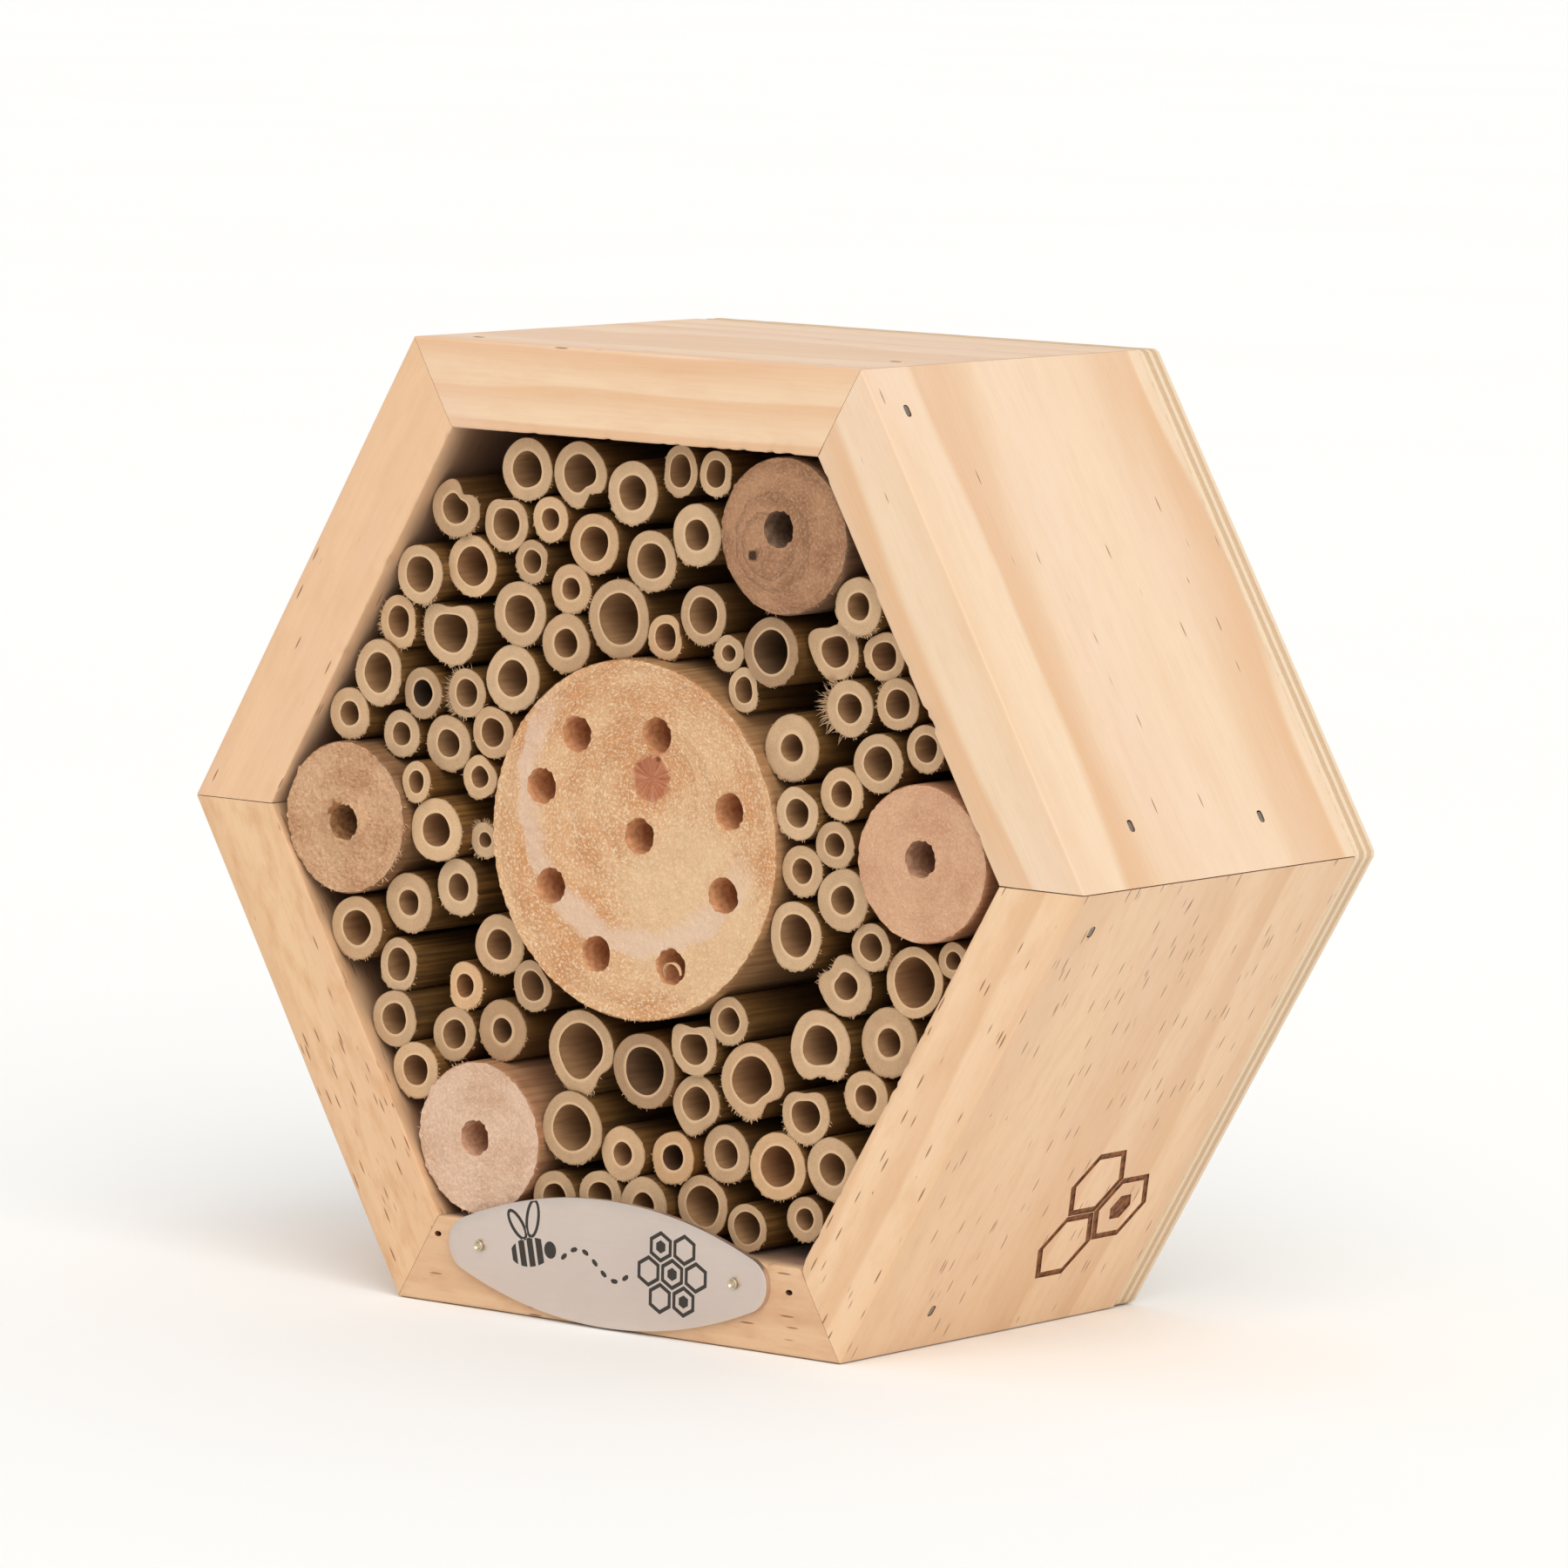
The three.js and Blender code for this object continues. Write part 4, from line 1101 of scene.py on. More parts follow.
def large_end():
    """The big log adds a red pith, and a pale band of sapwood round its lower side."""
    made = sawn_end("sawn_alder_end", "#EAB98A", "#DB9C69", "#C08456", "#FFE9C6", 4.6, 0.34, 0.85)
    material, tree, surface, place, parts, colour, small = made
    ring = add(tree, "CombineXYZ", {"X": parts["X"], "Y": parts["Y"]})[0]
    ring = add(tree, "VectorMath", {0: ring, 1: (1.5, 7.4, 0)}, operation="DISTANCE")["Value"]
    drift = add(tree, "TexNoise", {"Vector": place, "Scale": 0.16, "Detail": 4.0})["Fac"]
    ring = add(tree, "Math", {0: drift, 1: 5.0, 2: ring}, **TIMES_PLUS)[0]
    inner = add(tree, "MapRange", {0: ring, 1: 24.4, 2: 27.4}, **SMOOTH)[0]
    outer = add(tree, "MapRange", {0: ring, 1: 29.6, 2: 31.0, 3: 1.0, 4: 0.0}, **SMOOTH)[0]
    sapwood = add(tree, "Math", {0: inner, 1: outer}, **TIMES)[0]
    side = add(tree, "Math", {0: parts["X"], 1: 0.6, 2: parts["Y"]}, **TIMES_PLUS)[0]
    lower = add(tree, "MapRange", {0: side, 1: 4.0, 2: 16.0, 3: 0.72, 4: 0.0})[0]
    sapwood = add(tree, "Math", {0: sapwood, 1: lower}, **TIMES)[0]
    # The lower right is the fuzziest and palest part, and the rim is warm again.
    bright = spot(tree, parts, 13.0, -12.0, 15.0, 12.0)
    bright = add(tree, "Math", {0: bright, 1: 0.6}, **TIMES)[0]
    colour = add(tree, "Mix", {0: bright, 6: colour, 7: linear("#F3D0A6")}, **RGB)[2]
    colour = add(tree, "Mix", {0: sapwood, 6: colour, 7: linear("#EFCFB6")}, **RGB)[2]
    spokes = add(tree, "VectorMath", {0: place, 1: (*RED_PITH, 0)}, operation="SUBTRACT")[0]
    spokes = add(tree, "VectorMath", {0: spokes}, operation="NORMALIZE")[0]
    spokes = add(tree, "TexNoise", {"Vector": spokes, "Scale": 9.0, "Detail": 4.0})["Fac"]
    spokes = add(tree, "Math", {0: small, 1: 0.8, 2: spokes}, **TIMES_PLUS)[0]
    red = spot(tree, parts, *RED_PITH, 3.9, 2.6)
    deep = add(tree, "MapRange", {0: spokes, 1: 0.72, 2: 1.08})[0]
    stain = add(tree, "Mix", {0: deep, 6: linear("#CF8A66"), 7: linear("#A2492D")}, **RGB)[2]
    red = add(tree, "Math", {0: red, 1: 0.85}, **TIMES)[0]
    colour = add(tree, "Mix", {0: red, 6: colour, 7: stain}, **RGB)[2]
    # The drill tore the soft pith on its way out. The mesh has no crack there, so the crack's shade is
    # painted as a small dark spot.
    # Painted shade of a crack beside the pith, as a small dark spot.
    crack_shade = spot(tree, parts, 5.4, 14.8, 0.3, 1.6)
    colour = add(tree, "Mix", {0: crack_shade, 6: colour, 7: linear("#8A4A2E")}, **RGB)[2]
    finish_end(tree, surface, colour, small, 0.45)
    return material


def small_end(name, pale, warm, dark, fleck, ring_gap, ring_share, tuft_share, knot=None, torn=None):
    """A small log's end, with a dead knot or a torn brown patch where it has one."""
    made = sawn_end(name, pale, warm, dark, fleck, ring_gap, ring_share, tuft_share)
    material, tree, surface, _, parts, colour, small = made
    if knot:
        core = spot(tree, parts, *knot, 0.95, 1.3)
        colour = add(tree, "Mix", {0: core, 6: colour, 7: linear("#4B3322")}, **RGB)[2]
    if torn:
        core = spot(tree, parts, *torn, 1.6, 3.0)
        colour = add(tree, "Mix", {0: core, 6: colour, 7: linear("#9C6840")}, **RGB)[2]
    finish_end(tree, surface, colour, small, 0.45)
    return material


LOG_ENDS = {
    "log_large": large_end(),
    "log_top_right": small_end(
        "sawn_plum_end", "#BD8D6A", "#A07253", "#775239", "#DBB28B", 2.6, 0.5, 0.5, (-6.5, -3.8)),
    "log_left": small_end(
        "sawn_willow_end", "#DCAF88", "#C6946C", "#94674A", "#FAD3AB", 2.6, 0.12, 0.5, torn=(-1.6, 1.4)),
    "log_right": small_end("sawn_beech_end", "#E3B28D", "#D59F7D", "#B27B5A", "#F8D5B1", 3.0, 0.1, 0.4),
    "log_bottom_left": small_end(
        "sawn_birch_end", "#EBC5A8", "#DDB293", "#BC8866", "#FDE9D3", 2.8, 0.1, 0.5),
}

# %% Peeled sides and drilled holes
def peeled_side(name, pale, warm):
    material, tree, surface = blank(name, Roughness=0.6)
    place = add(tree, "TexCoord", {})["Object"]
    drawn = add(tree, "VectorMath", {0: place, 1: (1300, 45, 1300)}, **TIMES)[0]
    streak = add(tree, "TexNoise", {"Vector": drawn, "Scale": 1.0, "Detail": 4.0})["Fac"]
    share = add(tree, "MapRange", {0: streak, 1: 0.3, 2: 0.7})[0]
    colour = add(tree, "Mix", {0: share, 6: linear(pale), 7: linear(warm)}, **RGB)[2]
    tree.links.new(colour, surface["Base Color"])
    bump = add(tree, "Bump", {"Height": streak, "Distance": 0.08 * MM})["Normal"]
    tree.links.new(bump, surface["Normal"])
    return material


def drilled_wall(name, pale, warm):
    material, tree, surface = blank(name, Roughness=0.75)
    place = add(tree, "TexCoord", {})["Object"]
    drawn = add(tree, "VectorMath", {0: place, 1: (1100, 700, 1100)}, **TIMES)[0]
    torn = add(tree, "TexNoise", {"Vector": drawn, "Scale": 1.0, "Detail": 4.0})["Fac"]
    share = add(tree, "MapRange", {0: torn, 1: 0.35, 2: 0.65})[0]
    colour = add(tree, "Mix", {0: share, 6: linear(pale), 7: linear(warm)}, **RGB)[2]
    tree.links.new(colour, surface["Base Color"])
    bump = add(tree, "Bump", {"Height": torn, "Distance": 0.25 * MM})["Normal"]
    tree.links.new(bump, surface["Normal"])
    return material


LOG_SIDES = {
    "log_large": peeled_side("peeled_alder", "#B4895E", "#91673F"),
    "log_top_right": peeled_side("peeled_plum", "#836147", "#604631"),
    "log_left": peeled_side("peeled_willow", "#99724D", "#724E32"),
    "log_right": peeled_side("peeled_beech", "#B68461", "#986849"),
    "log_bottom_left": peeled_side("peeled_birch", "#B58661", "#906243"),
}
LOG_WALLS = {
    "log_large": drilled_wall("drilled_alder", "#E8B080", "#C98E62"),
    "log_top_right": drilled_wall("drilled_plum", "#8E7058", "#6A503B"),
    "log_left": drilled_wall("drilled_willow", "#B48557", "#875B38"),
    "log_right": drilled_wall("drilled_beech", "#C39778", "#A3775B"),
    "log_bottom_left": drilled_wall("drilled_birch", "#DDAE8D", "#C29272"),
}
print(len(LOG_ENDS), "kinds of log")

# %% [markdown]
# The holes in a log are found from its CAD mesh: faces that look out of the front have one
# outer edge and one edge per hole. The finer log follows them, with a torn rim, walls that
# the drill left uneven, and a cone at the bottom. Loose fibres stand off its edge.

# %% Find round edges that face the front
def front_loops(node, within=12.0):
    """Each separate loop of edges round the faces that look out of the front: its middle,
    radius and depth. The largest loop of each touching set of faces comes first."""
    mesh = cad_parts[node].data
    points = points_of(node)
    counts, sets = {}, []
    for face in mesh.polygons:
        corners = [tuple(np.round(points[i], 3)) for i in face.vertices]
        if face.normal.y > -0.99 or corners[0][1] > FRONT + within:
            continue
        for a, b in zip(corners, corners[1:] + corners[:1]):
            edge = (min(a, b), max(a, b))
            counts[edge] = counts.get(edge, 0) + 1
        touching = [s for s in sets if s & set(corners)]
        joined = set(corners).union(*touching)
        sets = [s for s in sets if s not in touching] + [joined]
    chains = {}
    for a, b in (edge for edge, count in counts.items() if count == 1):
        chains.setdefault(a, []).append(b)
        chains.setdefault(b, []).append(a)
    found = [[] for _ in sets]
    while chains:
        todo, loop = [next(iter(chains))], []
        while todo:
            point = todo.pop()
            if point in chains:
                loop.append(point)
                todo += chains.pop(point)
        ring = np.array(loop)
        middle = (ring.min(axis=0) + ring.max(axis=0)) / 2
        radius = np.hypot(ring[:, 0] - middle[0], ring[:, 2] - middle[2]).max()
        owner = next(i for i, s in enumerate(sets) if loop[0] in s)
        found[owner].append((radius, middle[0], middle[2], middle[1]))
    return [sorted(loops, reverse=True) for loops in found]


print("holes in the large log:", len(front_loops("log_large")[0]) - 1)

# %% Turn and drill the logs
TORN = {"log_large": 0.5, "log_top_right": 0.6, "log_left": 2.6, "log_right": 0.2, "log_bottom_left": 0.3}
FRINGES = {  # loose fibres round a log's edge: bearing, half width, longest, how many
    "log_large": [(40, 40, 0.8, 26), (-90, 60, 0.7, 40)],
    "log_top_right": [(-60, 60, 0.9, 20)],
    "log_left": [(-25, 35, 1.8, 34), (-120, 40, 0.8, 18)],
    "log_right": [(-80, 60, 0.6, 14)],
    "log_bottom_left": [(150, 60, 0.9, 30), (-80, 50, 0.8, 20)],
}
LOG_SHAPES = {  # pith off the middle, fuzz in mm, spacing of the end's points
    "log_large": ((4.2, 11.4), 0.24, 0.5),
    "log_top_right": ((-5.6, -3.4), 0.24, 0.42),
    "log_left": ((2.0, 1.0), 0.42, 0.42),
    "log_right": ((-1.5, 0.5), 0.18, 0.45),
    "log_bottom_left": ((1.0, 3.0), 0.24, 0.45),
}


def growth_at(points, pith, radius):
    """How much wood grew before each point: rings shift from the pith to the middle."""
    px, pz = pith
    a = radius**2 - px**2 - pz**2
    dx, dz = points[:, 0] - px, points[:, 1] - pz
    b = -2 * (dx * px + dz * pz)
    c = -(dx**2 + dz**2)
    share = (-b + np.sqrt(np.maximum(b**2 - 4 * a * c, 0))) / (2 * a)
    return radius * share


def ragged_ring(x, z, radius, count, rough, seed, stretch=0.0):
    turns = np.linspace(0, 2 * math.pi, count, endpoint=False)
    ring = np.stack([np.cos(turns), np.sin(turns), np.zeros(count)], axis=1)
    reach = radius + rough * ripple(ring * radius, 0.7, seed) + stretch * ripple(ring, 1.3, seed + 3)
    return np.stack([x + reach * np.cos(turns), z + reach * np.sin(turns)], axis=1)


CONE = ((0, 1, 4, 3), (1, 2, 5, 4), (2, 0, 3, 5), (2, 1, 0), (3, 4, 6), (4, 5, 6), (5, 3, 6))


def fibres(rng, rim, y, fringe):
    """Torn fibres round part of a rim, as vertices and faces of thin closed cones. The rim
    is the distance from the middle at each bearing."""
    bearing, width, longest, count = fringe
    bearings = np.linspace(0, 2 * math.pi, len(rim) + 1)
    vertices, faces = [], []
    for _ in range(count):
        at = math.radians(bearing + rng.normal() * width * 0.6)
        reach = np.interp(at % (2 * math.pi), bearings, np.append(rim, rim[0]))
        out = np.array([math.cos(at), 0, math.sin(at)])
        over = np.array([-math.sin(at), 0, math.cos(at)])
        length = longest * rng.uniform(0.3, 1.0)
        thick = rng.uniform(0.06, 0.12)
        foot = out * (reach - 0.3) + [0, y + rng.uniform(0.05, 0.5), 0]
        lean = out * rng.uniform(0.5, 1.0) + over * rng.normal() * 0.5
        lean += [0, -rng.uniform(-0.2, 0.45), 0]
        lean /= np.linalg.norm(lean)
        middle = foot + lean * (0.3 + length * 0.5)
        tip = foot + lean * (0.3 + length) + over * rng.normal() * 0.12 * length
        start = len(vertices)
        up = np.cross(lean, over)
        for centre, size in ((foot, thick), (middle, thick * 0.8)):
            vertices += [centre + size * (over * math.cos(a) + up * math.sin(a)) for a in (0, 2.1, 4.2)]
        vertices.append(tip)
        faces += [[start + i for i in face] for face in CONE]
    return vertices, faces


def shaving(x, y, z, holes):
    """A curl of wood that the drill left in the mouth of one hole, as a thin bent strip."""
    _, hx, hz, _ = min(holes, key=lambda hole: math.hypot(hole[1] - x - 9, hole[2] - z + 21.5))
    rings = []
    for share in np.linspace(0, 1, 16):
        turn = math.radians(200 - 190 * share)
        curl = [0.4 + 2.5 * math.cos(turn), 1.2 - 2.0 * share, 2.3 * math.sin(turn) - 1.6]
        middle = np.array([hx, y, hz]) + curl
        out = np.array([math.cos(turn), 0.3, math.sin(turn)])
        wide = 0.5 * math.sin(math.pi * (0.12 + 0.8 * share))
        rings.append([middle + out * a + np.array([0, b, 0]) for a, b in
                      ((-0.09, -wide), (0.09, -wide), (0.09, wide), (-0.09, wide))])
    return loft(rings)


def log(node):
    (radius, x, z, y), *holes = front_loops(node)[0]
    pith, fuzz, spacing = LOG_SHAPES[node]
    back = span_of(node)[1][1]
    around = round(2 * math.pi * radius / 0.75)
    outline = ragged_ring(x, z, radius - 0.2, around, 0.3, 2, 0.25)
    rims = [ragged_ring(hx, hz, r, 30, 0.34, 5 + i) for i, (r, hx, hz, _) in enumerate(holes)]
    flat, faces, borders = sheet(outline, rims, [], spacing, 11)
    local = np.column_stack([flat - [x, z], np.zeros(len(flat))])
    rng = np.random.default_rng(len(flat))
    lift = 0.6 * ripple(local, 1.1, 1) + 0.5 * rng.uniform(-1, 1, len(flat)) + 0.4 * ripple(local, 5.0, 3)
    for _, hx, hz, _ in holes:  # the drill has torn the wood round its holes
        away = np.hypot(*(flat - [hx, hz]).T)
        lift -= TORN[node] * np.exp(-((away / 5.2) ** 4)) * (1 + ripple(local, 2.0, 8))
    vertices = [(px, y + fuzz * h, pz) for (px, pz), h in zip(flat, lift)]
    slots = [0] * len(faces)

    def walls(border, rings, slot):
        before = border
        for ring in rings:
            now = list(range(len(vertices), len(vertices) + len(ring)))
            vertices.extend(map(tuple, ring))
            faces.extend(band(before, now))
            slots.extend([slot] * len(ring))
            before = now
        faces.append(before)
        slots.append(slot)

    def ring_at(loop, middle, scale, depth):
        spread = np.asarray(middle) + (loop - middle) * scale
        return np.stack([spread[:, 0], np.full(len(loop), depth), spread[:, 1]], axis=1)

    smooth = ragged_ring(x, z, radius, around, 0.0, 2, 0.25)
    side = []
    for depth in (0.35, 1.5, 4, 8, 14, 24, 40, 60, back - y - 0.6, back - y):
        scale = 0.985 if depth == back - y else 1 + 0.002 * math.sin(depth / 9)
        side.append(ring_at(smooth, (x, z), scale, y + depth))
    walls(borders[0], side, 1)
    for i, (r, hx, hz, _) in enumerate(holes):
        rings = []
        for j, depth in enumerate((0.3, 0.8, 1.6, 2.6, 3.8, 5.2, 7, 9.5, 13, 18, 26, 36, 49.9)):
            loop = ragged_ring(hx, hz, r, 30, 0.16, 40 + 17 * i + j)
            rings.append(ring_at(loop, (hx, hz), 1.0, y + depth))
        rings.append(ring_at(loop, (hx, hz), 0.12, y + 51.6))
        walls(borders[1 + i], rings, 2)
    for fringe in FRINGES[node]:
        rim = np.hypot(*(outline - [x, z]).T)
        more, extra = fibres(rng, rim, y, fringe)
        start = len(vertices)
        vertices.extend(tuple(point + [x, 0, z]) for point in more)
        faces.extend([start + i for i in face] for face in extra)
        slots.extend([0] * len(extra))
    if node == "log_large":
        more, extra = shaving(x, y, z, holes)
        start = len(vertices)
        vertices.extend(map(tuple, more))
        faces.extend([start + i for i in face] for face in extra)
        slots.extend([0] * len(extra))
    materials = [LOG_ENDS[node], LOG_SIDES[node], LOG_WALLS[node]]
    made = piece(f"sawn_{node}", np.array(vertices), faces, materials, slots, sharp=50)
    points = mesh_points(made)[:, [0, 2]] - [x, z]
    give(made, "log", np.column_stack([points, growth_at(points, pith, radius)]))
    slot = {"log_large": "log_peach", "log_top_right": "log_brown", "log_left": "log_tan",
            "log_right": "log_pink", "log_bottom_left": "log_pale_pink"}[node]
    fit(made, slot, node)
    return made


logs = [log(node) for node in LOG_SHAPES]
print("logs:", sum(len(made.data.polygons) for made in logs), "faces")

# %% [markdown]
# ## Bamboo
#
# Bamboo is a grass. Its cane is a hollow wall of fibres under a hard, waxy skin that turns
# from green to olive and straw as it dries. A saw cuts the fibres into a pale matt ring,
# with a lighter line round the hollow, and leaves a ragged lip on the side where the blade
# came out. The hollow is lined with brown papery pith. A branch leaves a groove down one
# side of the cane, which is why so few of the ends are round.
#
# Each vertex keeps its place beside the cane's end, how far it lies across the wall from
# skin to hollow, and its cane's own shade.

# %% Sawn bamboo
def culm_end():
    material, tree, surface = blank("sawn_bamboo_end", Roughness=0.85, Specular_IOR_Level=0.3)
    place = add(tree, "Attribute", {}, attribute_name="cane")["Vector"]
    across = add(tree, "Attribute", {}, attribute_name="across")["Fac"]
    own = add(tree, "SeparateXYZ", {0: add(tree, "Attribute", {}, attribute_name="own")["Vector"]})
    colour = add(tree, "Mix", {0: own["X"], 6: linear("#B08D6B"), 7: linear("#D1B08B")}, **RGB)[2]
    colour = add(tree, "Mix", {0: own["Y"], 6: colour, 7: linear("#D6AC80")}, **RGB)[2]
    colour = add(tree, "Mix", {0: own["Z"], 6: colour, 7: linear("#85654A")}, **RGB)[2]
    # Bundles of fibre 0.3 mm across are darker dots in a paler ground.
    strand = {"Vector": place, "Scale": 1 / 0.34, "Detail": 3.0, "Roughness": 0.6}
    dots = add(tree, "TexNoise", strand)["Fac"]
    tone = add(tree, "MapRange", {0: dots, 1: 0.3, 2: 0.7, 3: 0.88, 4: 1.07})[0]
    cloud = add(tree, "TexNoise", {"Vector": place, "Scale": 0.35, "Detail": 2.0})["Fac"]
    cloudy = add(tree, "MapRange", {0: cloud, 1: 0.3, 2: 0.7, 3: 0.93, 4: 1.05})[0]
    tone = add(tree, "Math", {0: tone, 1: cloudy}, **TIMES)[0]
    colour = add(tree, "Mix", {0: 1.0, 6: colour, 7: tone}, **TINT)[2]
    lip = add(tree, "MapRange", {0: across, 1: 0.74, 2: 0.9, 3: 0.0, 4: 0.5})[0]
    colour = add(tree, "Mix", {0: lip, 6: colour, 7: linear("#E6C49B")}, **RGB)[2]
    skin = add(tree, "MapRange", {0: across, 1: 0.02, 2: 0.14, 3: 0.45, 4: 0.0})[0]
    colour = add(tree, "Mix", {0: skin, 6: colour, 7: linear("#856947")}, **RGB)[2]
    tree.links.new(colour, surface["Base Color"])
    bump = add(tree, "Bump", {"Height": dots, "Distance": 0.07 * MM})["Normal"]
    tree.links.new(bump, surface["Normal"])
    return material


def culm_skin():
    material, tree, surface = blank("dried_bamboo_skin", Roughness=0.45)
    place = add(tree, "Attribute", {}, attribute_name="cane")["Vector"]
    own = add(tree, "SeparateXYZ", {0: add(tree, "Attribute", {}, attribute_name="own")["Vector"]})
    drawn = add(tree, "VectorMath", {0: place, 1: (1.5, 0.035, 1.5)}, **TIMES)[0]
    streak = add(tree, "TexNoise", {"Vector": drawn, "Scale": 1.0, "Detail": 5.0, "Roughness": 0.6})["Fac"]
    share = add(tree, "MapRange", {0: streak, 1: 0.32, 2: 0.68})[0]
    olive = add(tree, "Mix", {0: own["X"], 6: linear("#634523"), 7: linear("#916834")}, **RGB)[2]
    straw = add(tree, "Mix", {0: own["Y"], 6: linear("#4C3216"), 7: linear("#754620")}, **RGB)[2]
    colour = add(tree, "Mix", {0: share, 6: olive, 7: straw}, **RGB)[2]
    blotch = add(tree, "VectorMath", {0: place, 1: (0.3, 0.08, 0.3)}, **TIMES)[0]
    mould = add(tree, "TexNoise", {"Vector": blotch, "Scale": 1.0, "Detail": 3.0})["Fac"]
    dark = add(tree, "MapRange", {0: mould, 1: 0.5, 2: 0.75, 3: 0.0, 4: 0.5})[0]
    colour = add(tree, "Mix", {0: dark, 6: colour, 7: linear("#382616")}, **RGB)[2]
    tree.links.new(colour, surface["Base Color"])
    shine = add(tree, "MapRange", {0: mould, 3: 0.38, 4: 0.6})[0]
    tree.links.new(shine, surface["Roughness"])
    bump = add(tree, "Bump", {"Height": streak, "Distance": 0.06 * MM})["Normal"]
    tree.links.new(bump, surface["Normal"])
    return material


def culm_bore():
    material, tree, surface = blank("bamboo_pith_lining", Roughness=0.7)
    place = add(tree, "Attribute", {}, attribute_name="cane")["Vector"]
    own = add(tree, "SeparateXYZ", {0: add(tree, "Attribute", {}, attribute_name="own")["Vector"]})
    drawn = add(tree, "VectorMath", {0: place, 1: (1.3, 0.12, 1.3)}, **TIMES)[0]
    fold = add(tree, "TexNoise", {"Vector": drawn, "Scale": 1.0, "Detail": 4.0})["Fac"]
    share = add(tree, "MapRange", {0: fold, 1: 0.2, 2: 0.8})[0]
    light = add(tree, "Mix", {0: own["Y"], 6: linear("#AF8860"), 7: linear("#AE7C50")}, **RGB)[2]
    brown = add(tree, "Mix", {0: own["Y"], 6: linear("#916A45"), 7: linear("#8A5430")}, **RGB)[2]
    colour = add(tree, "Mix", {0: share, 6: light, 7: brown}, **RGB)[2]
    colour = add(tree, "Mix", {0: own["Z"], 6: colour, 7: linear("#2D1B10")}, **RGB)[2]
    tree.links.new(colour, surface["Base Color"])
    bump = add(tree, "Bump", {"Height": fold, "Distance": 0.08 * MM})["Normal"]
    tree.links.new(bump, surface["Normal"])
    return material


CULM = [culm_end(), culm_skin(), culm_bore()]
print(len(CULM), "materials on each cane")

# %% [markdown]
# Every cane is a closed loft that goes down the outside, across the back, up the hollow and
# out over the sawn end. Its outline is a circle with a little unevenness, less any groove.
# The table holds what is out of the ordinary: `dents` and `lobes` are (bearing, share of the
# radius, half width), with bearings in degrees anticlockwise from the right as seen from
# the front. `fray` is (bearing, half width, longest fibre in mm).

